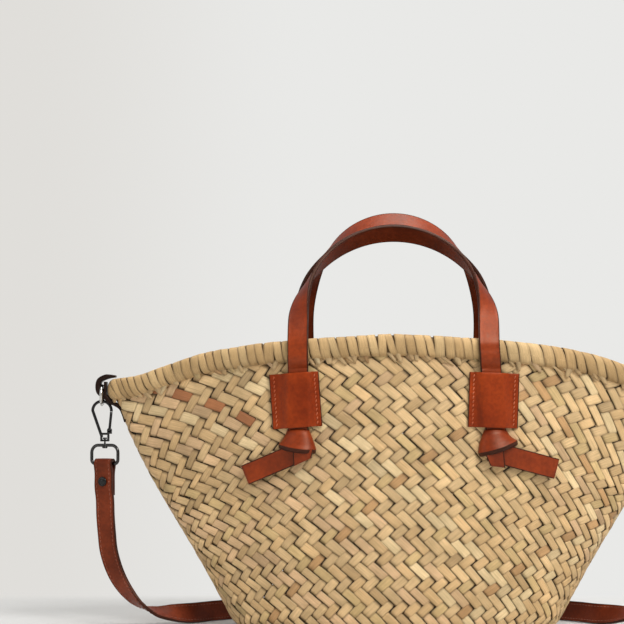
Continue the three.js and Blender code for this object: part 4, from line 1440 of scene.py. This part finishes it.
@dataclass
class Hanging:
    """Leather loop, ring, snap hook, gate, strap ring and rivet at one end of the bag."""

    form: BasketForm
    finishes: Finishes
    side: Side
    loop_width: float = 11.0
    loop_wall: float = 1.9
    ring_radius: float = 7.0
    ring_wire: float = 2.4
    hook_wire: float = 2.2
    bow: float = 6.9
    arm: float = 19.5
    block_width: float = 6.6
    block_tall: float = 6.4
    block_depth: float = 4.4
    swivel_shift: float = 2.2
    gate_reach: float = 3.4
    strap_ring_width: float = 25.0
    strap_ring_tall: float = 16.0
    strap_ring_wire: float = 2.4
    strap_turn: float = math.radians(25)
    strap_thickness: float = 2.5
    rivet_radius: float = 3.5
    rivet_dome: float = 1.6
    rivet_drop: float = 13.0

    @property
    def rim_end(self) -> float:
        """Outermost place of the rim's roll."""
        return self.form.rim_half_length + self.form.rim_thick / 2

    @property
    def hang_x(self) -> float:
        """Distance of the hanging chain from the bag's middle."""
        return self.rim_end + self.form.seat * 2 + self.loop_wall + self.ring_wire / 2 + 0.2

    @property
    def swivel_x(self) -> float:
        """Distance of the swivel's axis from the bag's middle."""
        return self.hang_x - self.swivel_shift

    @property
    def corner_line(self) -> float:
        """Height of the middle of the roll at the corner."""
        return float(self.form.rim_line(np.ones(1))[0])

    @property
    def ring_z(self) -> float:
        """Height of the small ring's middle."""
        return self.corner_line - 4

    @property
    def bow_z(self) -> float:
        """Height of the middle of the hook's round top."""
        low = self.ring_z - self.ring_radius + self.ring_wire / 2
        return low + self.form.seat + self.hook_wire / 2 - self.bow

    @property
    def block_z(self) -> float:
        """Height of the middle of the swivel block."""
        return self.bow_z - self.arm

    @property
    def strap_ring_top(self) -> float:
        """Height of the strap ring's upper edge."""
        return self.block_z - self.block_tall / 2 - 1.6

    @property
    def bar_z(self) -> float:
        """Height of the strap ring's lower bar."""
        return self.strap_ring_top - self.strap_ring_tall + self.strap_ring_wire / 2

    @property
    def rivet_z(self) -> float:
        """Height of the rivet."""
        return self.bar_z - self.rivet_drop

    @property
    def pivot(self) -> np.ndarray:
        """Middle of the gate's pin."""
        height = self.block_z + self.block_tall / 2 + 1.5 + self.form.seat
        return np.array([self.swivel_x - self.gate_reach, 0, height])

    @property
    def nose(self) -> np.ndarray:
        """End of the hook's wire, where the gate closes."""
        return np.array([self.hang_x - self.bow, 0, self.bow_z - 0.8])

    def finish(
        self, parts: MeshParts, name: str, body: str, node: str, materials: Sequence
    ) -> bpy.types.Object:
        """Mirrors the gathered corners to this end and makes the piece.

        Args:
            parts: The corners and faces, for the right-hand end.
            name: Name of the piece without its side.
            body: Body that it rides on.
            node: Node that it replaces, without its side.
            materials: Its materials.

        Returns:
            The piece.
        """
        mirror = np.array([self.side.value, 1, 1])
        parts.corners = [corners * mirror for corners in parts.corners]
        piece = parts.build(f"{name}_{self.side.word}", materials)
        return fasten(piece, body, f"{node}_{self.side.word}")

    def leather_loop(self) -> bpy.types.Object:
        """Leather loop round the rim's corner, with an eye for the ring."""
        seat = self.form.seat
        inner = self.rim_end + seat
        outer = self.hang_x + self.ring_wire / 2 + 0.5 + 2.6
        top = self.corner_line + self.form.rim_tall / 2 + seat
        bottom = self.corner_line - self.form.rim_tall / 2 - seat
        eye_z = self.ring_z + self.ring_radius - 2.2
        parts = MeshParts()
        outline = [
            (inner - 6.5, top + 1.6),
            (inner - 2.0, top + 1.5),
            (inner + 1.6, top + 0.8),
            (outer - 2.6, top - 1.6),
            (outer - 1.6, top - 6.0),
            (outer - 2.4, top - 10.0),
            (self.hang_x - 0.6, bottom + 4.4),
            (inner + 1.4, bottom + 3.9),
            (inner - 0.1, bottom + 2.4),
            (inner - 2.8, bottom - 0.6),
            (inner - 6.4, bottom - 2.4),
            (inner - 10.4, bottom - 5.2),
            (inner - 12.6, bottom - 9.8),
            (inner - 14.2, bottom - 15.2),
        ]
        points = smoothed(np.array([(x, 0, z) for x, z in outline]), 72)
        across = np.tile([0.0, 1.0, 0.0], (len(points), 1))
        share = np.linspace(0, 1, len(points))
        taper = np.interp(share, [0, 0.12, 0.6, 0.75, 1], [0.4, 1, 1, 0.8, 0.7])
        narrow = np.interp(share, [0, 0.7, 1], [1, 1, 0.6])
        sweep(parts, points, across, strap_section(self.loop_width, 3.9, 0.2, 1.4), narrow, taper)
        back = [
            (inner + 0.9, top - 2.4),
            (inner + 0.95, eye_z + 2.0),
            (inner + 0.95, eye_z - 2.0),
            (inner + 1.0, bottom + 4.6),
        ]
        points = smoothed(np.array([(x, 0, z) for x, z in back]), 18)
        across = np.tile([0.0, 1.0, 0.0], (len(points), 1))
        sweep(parts, points, across, strap_section(self.loop_width, 1.9, 0.1, 0.6))
        materials = [self.finishes.loop, self.finishes.loop]
        return self.finish(parts, "leather_loop", "root", "side_loop", materials)

    def small_ring(self) -> bpy.types.Object:
        """Round ring in the leather loop."""
        parts = MeshParts()
        angle = np.linspace(0, 2 * np.pi, 48, endpoint=False)
        middles = np.stack(
            [
                np.full(48, self.hang_x),
                self.ring_radius * np.cos(angle),
                self.ring_z + self.ring_radius * np.sin(angle),
            ],
            -1,
        )
        wire(parts, middles, self.ring_wire / 2, np.array([1.0, 0, 0]), ring=True, sides=16)
        return self.finish(parts, "small_ring", "root", "loop_ring", [self.finishes.nickel])

    def snap_hook(self) -> bpy.types.Object:
        """Hook: bow and outer arm of wire, the swivel block, two ears and the gate's pin."""
        parts = MeshParts()
        across = np.array([0.0, 1.0, 0.0])
        x, z = self.hang_x, self.bow_z
        angle = np.linspace(0, np.pi, 26)
        arc = np.stack([x + self.bow * np.cos(angle), 0 * angle, z + self.bow * np.sin(angle)], -1)
        foot = np.array([self.swivel_x + self.block_width / 2 - self.hook_wire / 2, 0, self.block_z])
        rows = [foot, foot * 0.7 + arc[0] * 0.3, foot * 0.3 + arc[0] * 0.7, *arc, self.nose]
        wire(parts, np.array(rows), self.hook_wire / 2, across)
        self.block(parts)
        ear = 1.0
        disc = both_ways([(0, -ear / 2), (1.5, -ear / 2), (1.7, -ear / 2 + 0.2)])
        for way in (-1, 1):
            y = way * (self.block_depth - ear) / 2
            lathe(parts, disc, self.pivot + across * y, across, 20)
            low = self.pivot + np.array([0.0, y, 0])
            rows = np.array([low, low - UP * 1.2, low - UP * 2.6])
            sweep(parts, rows, np.tile([1.0, 0, 0], (3, 1)), strap_section(3.3, ear, 0, 0.25))
        pin = both_ways([(0, -2.5), (0.6, -2.45), (0.75, -2.2), (0.6, -2.0)])
        lathe(parts, pin, self.pivot, across, 14)
        word = self.side.word
        return self.finish(parts, "snap_hook", f"hook_{word}", "hook", [self.finishes.hook])

    def block(self, parts: MeshParts) -> None:
        """Adds the swivel block, a small frame with a window for the stud's head."""
        half, tall = self.block_width / 2, self.block_tall / 2
        window_half, window_low, window_high = 1.9, -tall + 1.4, -tall + 4.8
        x, z = self.swivel_x, self.block_z
        depth = self.block_depth

        def bar(low: tuple, high: tuple) -> None:
            """Adds one bar of the frame between two opposite corners."""
            middle_x, reach = (low[0] + high[0]) / 2, high[0] - low[0]
            rows = np.array([(x + middle_x, 0, z + h) for h in np.linspace(low[1], high[1], 7)])
            pinch = np.array([0.9, 0.98, 1, 1, 1, 0.98, 0.9])
            section = strap_section(reach, depth, 0.1, 0.35)
            sweep(parts, rows, np.tile([1.0, 0, 0], (7, 1)), section, pinch, pinch)

        bar((-half, -tall), (half, window_low))
        bar((-half, window_high), (half, tall))
        bar((-half, window_low - 0.3), (-window_half, window_high + 0.3))
        bar((window_half, window_low - 0.3), (half, window_high + 0.3))

    def gate(self) -> bpy.types.Object:
        """Gate: a straight round arm with an eye on the pin."""
        parts = MeshParts()
        across = np.array([0.0, 1.0, 0.0])
        top = self.nose + np.array([0.05, 0, -self.form.seat])
        foot = self.pivot + UP * 0.6
        rows = foot + (top - foot) * np.linspace(0, 1, 9)[:, None]
        wire(parts, rows, self.hook_wire / 2 - 0.1, across)
        eye = both_ways([(0.76, -0.8), (1.35, -0.8), (1.5, -0.6)])
        lathe(parts, eye, self.pivot, across, 20)
        word = self.side.word
        return self.finish(parts, "spring_gate", f"gate_{word}", "gate", [self.finishes.hook])

    def turned(self, points: np.ndarray) -> np.ndarray:
        """Points given about the chain's axis, turned with the strap."""
        c, s = math.cos(self.strap_turn), math.sin(self.strap_turn)
        x, y = points[..., 0], points[..., 1]
        return np.stack([self.swivel_x + x * c - y * s, x * s + y * c, points[..., 2]], -1)

    def strap_ring(self) -> bpy.types.Object:
        """Rounded ring of the shoulder strap with the swivel's stud."""
        parts = MeshParts()
        half_w = (self.strap_ring_width - self.strap_ring_wire) / 2
        half_t = (self.strap_ring_tall - self.strap_ring_wire) / 2
        centre = self.strap_ring_top - self.strap_ring_tall / 2
        rows = []
        for sx, sz, quarter in ((1, 1, 0), (-1, 1, 1), (-1, -1, 2), (1, -1, 3)):
            size = 5.5 if sz > 0 else 3.0
            for angle in np.pi / 2 * (quarter + np.linspace(0, 1, 9)):
                x = sx * (half_w - size) + size * math.cos(angle)
                z = centre + sz * (half_t - size) + size * math.sin(angle)
                rows.append((x, 0, z))
        rows = self.turned(np.array(rows))
        normal = np.array([-math.sin(self.strap_turn), math.cos(self.strap_turn), 0])
        wire(parts, rows, self.strap_ring_wire / 2, normal, ring=True)
        bar = self.strap_ring_top - self.strap_ring_wire / 2
        head = self.block_z - self.block_tall / 2 + 1.4 + self.form.seat
        base = np.array([self.swivel_x, 0, 0])
        collar = [(0, -2.3), (1.6, -2.25), (1.95, -1.9), (1.95, -1.2), (1.5, -0.9)]
        collar += [(1.5, 0.7), (1.2, 1.1), (0.6, 1.3)]
        knob = [(0.6, 0), (1.4, 0), (1.5, 0.2), (1.5, 0.9), (1.2, 1.2), (0, 1.25)]
        profile = [(r, bar + h) for r, h in collar] + [(r, head + h) for r, h in knob]
        lathe(parts, profile, base, UP, 20)
        materials = [self.finishes.gunmetal]
        return self.finish(parts, "strap_ring_wire", "root", "strap_ring", materials)

    def rivet(self) -> bpy.types.Object:
        """Domed rivet through the doubled strap."""
        parts = MeshParts()
        face = self.strap_thickness + 1.5 * self.form.seat
        out = np.array([math.sin(self.strap_turn), -math.cos(self.strap_turn), 0])
        base = np.array([self.swivel_x, 0, self.rivet_z])
        r, dome = self.rivet_radius, self.rivet_dome
        foot = [(0, -0.8), (0.7, -0.8), (0.8, -0.5), (0.8, 0)]
        rim = [(0.94, 0), (1, 0.2), (1, 0.7), (0.93, 1.05), (0.83, 1.05), (0.76, 0.75), (0.72, 0.7)]
        cap = [(0.5, dome * 0.82), (0.25, dome * 0.97), (0, dome)]
        profile = [(r * wide, high - face) for wide, high in foot] + [(1.4, -face), (1.4, face)]
        profile += [(r * wide, face + high) for wide, high in rim + cap]
        lathe(parts, profile, base, out, 32)
        return self.finish(parts, "strap_rivet", "root", "rivet", [self.finishes.hook])

    def make(self) -> list:
        """Builds all the pieces of this end."""
        return [
            self.leather_loop(),
            self.small_ring(),
            self.snap_hook(),
            self.gate(),
            self.strap_ring(),
            self.rivet(),
        ]


@dataclass
class ShoulderStrap:
    """Flat stitched leather strap from ring to ring, lying round the back of the bag."""

    form: BasketForm
    finishes: Finishes
    hanging: Hanging
    width: float = 15.0
    thickness: float = 2.5
    sweep_back: float = 100.0
    fold_length: float = 27.0
    stitch_inset: float = 2.2
    stitch_pitch: float = 3.1
    rows: tuple = (
        (0.998, -0.012, 0.78, 0.91, -0.42, 0),
        (0.996, -0.014, 0.68, 0.91, -0.42, 0),
        (0.991, -0.016, 0.57, 0.9, -0.43, 0),
        (0.983, -0.02, 0.455, 0.87, -0.45, 0.1),
        (0.956, -0.03, 0.315, 0.76, -0.55, 0.28),
        (0.917, -0.035, 0.205, 0.5, -0.75, 0.4),
        (0.869, -0.03, 0.122, 0.2, -0.95, 0.2),
        (0.823, 0.01, 0.083, 0, -0.95, -0.25),
        (0.765, 0.08, 0.07, -0.05, -0.75, -0.65),
        (0.705, 0.2, 0.064, 0, -0.4, -0.92),
        (0.64, 0.38, 0.063, 0, -0.15, -0.99),
        (0.54, 0.62, 0.063, 0, 0, -1),
        (0.38, 0.85, 0.063, 0, 0, -1),
        (0.19, 0.97, 0.063, 0, 0, -1),
        (0, 1, 0.063, 0, 0, -1),
    )

    def path(self) -> tuple:
        """Middles and across directions of the whole strap."""
        h = self.hanging
        turn = h.strap_turn
        out = np.array([math.sin(turn), -math.cos(turn), 0])
        across = np.array([-math.cos(turn), -math.sin(turn), 0])
        near = self.thickness / 2 + self.form.seat / 2
        fold = h.strap_ring_wire / 2 + self.form.seat + self.thickness / 2
        rivet_z = h.rivet_z
        half = []

        def add(away: float, z: float) -> None:
            """Adds a place of the doubled end, beside the ring's plane."""
            half.append((np.array([h.swivel_x, 0, z]) + out * away, across))

        add(-near, h.bar_z - self.fold_length + 4)
        add(-near, rivet_z - 4)
        add(-near, rivet_z + 6)
        for i in range(7):
            angle = math.pi * (i / 6 - 0.5)
            add(fold * math.sin(angle), h.bar_z + fold * math.cos(angle))
        add(near, rivet_z + 6)
        add(near, rivet_z - 4)
        flat = self.width / 2 + self.form.seat
        for x, back, up, fx, fy, fz in self.rows:
            y = back * self.sweep_back
            z = max(up * h.bar_z, flat if y > 0.3 * self.sweep_back else 0)
            half.append((np.array([x * h.swivel_x, y, z]), np.array([-fx, fy, fz])))
        other = [(m * np.array([-1, 1, 1]), a * np.array([-1, 1, 1])) for m, a in half[-2::-1]]
        whole = half + other
        steps = 6 * (len(whole) - 1)
        return (
            smoothed(np.array([m for m, _ in whole]), steps),
            smoothed(np.array([a for _, a in whole]), steps),
        )

    def make(self) -> list:
        """Builds the strap and its two rows of stitches."""
        middles, acrosses = self.path()
        parts = MeshParts()
        sweep(parts, middles, acrosses, strap_section(self.width, self.thickness, 0.2, 0.7))
        strap = parts.build("leather_shoulder_strap", [self.finishes.strap, self.finishes.paint])
        across, through = strap_axes(middles, acrosses)
        run = run_along(middles)
        thread = MeshParts()
        count = int((run[-1] - 4) / self.stitch_pitch)
        offset = self.width / 2 - self.stitch_inset

        def at(place: float, side: float, face: float) -> tuple:
            """Point and normal of a row of stitches at a length along the strap."""
            point = np.array([np.interp(place, run, middles[:, k]) for k in range(3)])
            a = unit(np.array([np.interp(place, run, across[:, k]) for k in range(3)]))
            n = unit(np.array([np.interp(place, run, through[:, k]) for k in range(3)])) * face
            return point + a * side * offset + n * (self.thickness / 2 - 0.12), n

        for i in range(count):
            place = 2 + i * self.stitch_pitch
            for side in (-1, 1):
                for face in (-1, 1):
                    one, normal = at(place + 0.4, side, face)
                    two, _ = at(place + self.stitch_pitch - 0.45, side, face)
                    stitch(thread, one, two, normal, 0.3)
        seams = thread.build("shoulder_strap_stitches", [self.finishes.seam])
        log.info("shoulder strap is %.0f mm long", run[-1])
        return [fasten(strap, "root", "shoulder_strap"), fasten(seams, "root")]


@dataclass(frozen=True)
class Studio:
    """Pale floor, soft lights and the camera at the photograph's angle."""

    eye_height: float = 143.0
    distance: float = 1750.0
    focal_pixels: float = 2381.0
    frame_pixels: float = 624.0
    middle_column: float = 395.0
    horizon_row: float = 430.0
    wall: tuple = (233, 233, 231)
    # Painted shade: the backdrop darkens from wall towards wall_left on the left.
    wall_left: tuple = (224, 222, 218)
    wall_turn: tuple = (-0.16, -0.03)
    floor: tuple = (0.63, 0.624, 0.61)
    ambient: float = 0.54

    def camera(self) -> None:
        """Sets the camera in front of the bag, turned so that the bag sits where it does in the frame."""
        data = bpy.data.cameras.new("camera")
        data.sensor_width = 36.0
        data.lens = self.focal_pixels / self.frame_pixels * data.sensor_width
        data.clip_start, data.clip_end = 0.05, 50
        camera = bpy.data.objects.new("camera", data)
        half = self.frame_pixels / 2
        yaw = math.atan((self.middle_column - half) / self.focal_pixels)
        pitch = math.atan((self.horizon_row - half) / self.focal_pixels)
        camera.location = (0, -self.distance * MM, self.eye_height * MM)
        look = Vector((-math.sin(yaw) * math.cos(pitch), math.cos(yaw) * math.cos(pitch), math.sin(pitch)))
        camera.rotation_euler = look.to_track_quat("-Z", "Y").to_euler()
        bpy.context.scene.collection.objects.link(camera)
        bpy.context.scene.camera = camera

    def ground(self) -> None:
        """Lays the floor, which fades into the backdrop's colour away from the bag."""
        mesh = bpy.data.meshes.new("floor")
        reach = 6.0
        square = [(-reach, -reach, 0), (reach, -reach, 0), (reach, reach, 0), (-reach, reach, 0)]
        mesh.from_pydata(square, [], [(0, 1, 2, 3)])
        floor = bpy.data.objects.new("floor", mesh)
        bpy.context.scene.collection.objects.link(floor)
        nodes = NodeTree("pale_floor")
        place = nodes.place((1 / 1.5, 1 / 0.27, 0))
        far = nodes.add("VectorMath", {0: place}, operation="LENGTH").outputs["Value"]
        fade = nodes.ramp(far, 0.9, 1.25)
        grain = nodes.add("TexNoise", {"Vector": nodes.place((900, 900, 900)), "Scale": 1.0})
        low, high = (tuple(c * g for c in self.floor) + (1,) for g in (0.985, 1.015))
        colour = nodes.mix(grain.outputs[0], low, high)
        nodes.shade(Base_Color=colour, Roughness=0.85, Specular_IOR_Level=0.2)
        # Painted shade: away from the bag the floor glows in the backdrop's colour, which darkens towards
        # the left.
        axes = nodes.add("SeparateXYZ", {0: nodes.add("TexCoord").outputs["Object"]})
        ahead = nodes.add("Math", {0: axes.outputs[1], 1: self.distance * MM}, operation="ADD")
        aside = nodes.add("Math", {0: axes.outputs[0], 1: ahead.outputs[0]}, operation="DIVIDE")
        turned = nodes.ramp(aside.outputs[0], *self.wall_turn)
        backdrop = nodes.mix(turned, linear(*self.wall_left), linear(*self.wall))
        glow = nodes.add("Emission", {"Color": backdrop, "Strength": 1.0})
        blend = nodes.add("MixShader", {0: fade, 1: nodes.shader.outputs[0], 2: glow.outputs[0]})
        nodes.tree.links.new(blend.outputs[0], nodes.tree.nodes["Material Output"].inputs[0])
        mesh.materials.append(nodes.material)

    def lights(self) -> None:
        """Hangs the soft lights and sets the backdrop."""
        world = bpy.data.worlds.new("backdrop")
        world.use_nodes = True
        tree = world.node_tree
        # Painted shade: the backdrop that the camera sees darkens towards the left.
        axes = tree.nodes.new("ShaderNodeSeparateXYZ")
        tree.links.new(tree.nodes.new("ShaderNodeTexCoord").outputs["Generated"], axes.inputs[0])
        turned = tree.nodes.new("ShaderNodeMapRange")
        turned.interpolation_type = "SMOOTHSTEP"
        turned.inputs[1].default_value, turned.inputs[2].default_value = self.wall_turn
        tree.links.new(axes.outputs[0], turned.inputs[0])
        colour = tree.nodes.new("ShaderNodeMix")
        colour.data_type = "RGBA"
        colour.inputs[6].default_value = linear(*self.wall_left)
        colour.inputs[7].default_value = linear(*self.wall)
        tree.links.new(turned.outputs[0], colour.inputs[0])
        shown = tree.nodes["Background"]
        tree.links.new(colour.outputs[2], shown.inputs[0])
        lighting = tree.nodes.new("ShaderNodeBackground")
        lighting.inputs[0].default_value = linear(*self.wall)
        lighting.inputs[1].default_value = self.ambient
        choice = tree.nodes.new("ShaderNodeMixShader")
        tree.links.new(tree.nodes.new("ShaderNodeLightPath").outputs["Is Camera Ray"], choice.inputs[0])
        tree.links.new(lighting.outputs[0], choice.inputs[1])
        tree.links.new(shown.outputs[0], choice.inputs[2])
        tree.links.new(choice.outputs[0], tree.nodes["World Output"].inputs[0])
        bpy.context.scene.world = world
        lamps = (
            ("key", (1.0, -1.4, 1.6), 1.0, 38.0),
            ("top", (0.2, 0.1, 1.9), 1.2, 20.0),
            ("fill", (-1.5, -0.9, 0.7), 1.0, 2.5),
        )
        for name, place, size, power in lamps:
            data = bpy.data.lights.new(name, "AREA")
            data.size, data.energy = size, power
            lamp = bpy.data.objects.new(name, data)
            lamp.location = place
            aim = Vector((0, 0, 0.15)) - Vector(place)
            lamp.rotation_euler = aim.to_track_quat("-Z", "Y").to_euler()
            bpy.context.scene.collection.objects.link(lamp)
        bpy.context.scene.view_settings.view_transform = "Standard"

    def make(self) -> None:
        """Sets camera, floor and lights."""
        self.camera()
        self.ground()
        self.lights()


def main() -> None:
    """Builds every sub-assembly over the frame."""
    logging.basicConfig(level=logging.INFO, format="%(name)s: %(message)s")
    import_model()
    Studio().make()
    form, finishes = BasketForm(), Finishes()
    weave = WovenBasket(form, finishes)
    hangings = [Hanging(form, finishes, side) for side in Side]
    groups: list = [
        weave,
        WoundRim(form, finishes, weave),
        Handle(form, finishes, Face.FRONT, 287.0),
        Handle(form, finishes, Face.BACK, 298.0),
        *hangings,
        ShoulderStrap(form, finishes, hangings[1]),
    ]
    for group in groups:
        for piece in group.make():
            log.info("%s: %s, %d faces", type(group).__name__, piece.name, len(piece.data.polygons))


if __name__ == "__main__":
    main()
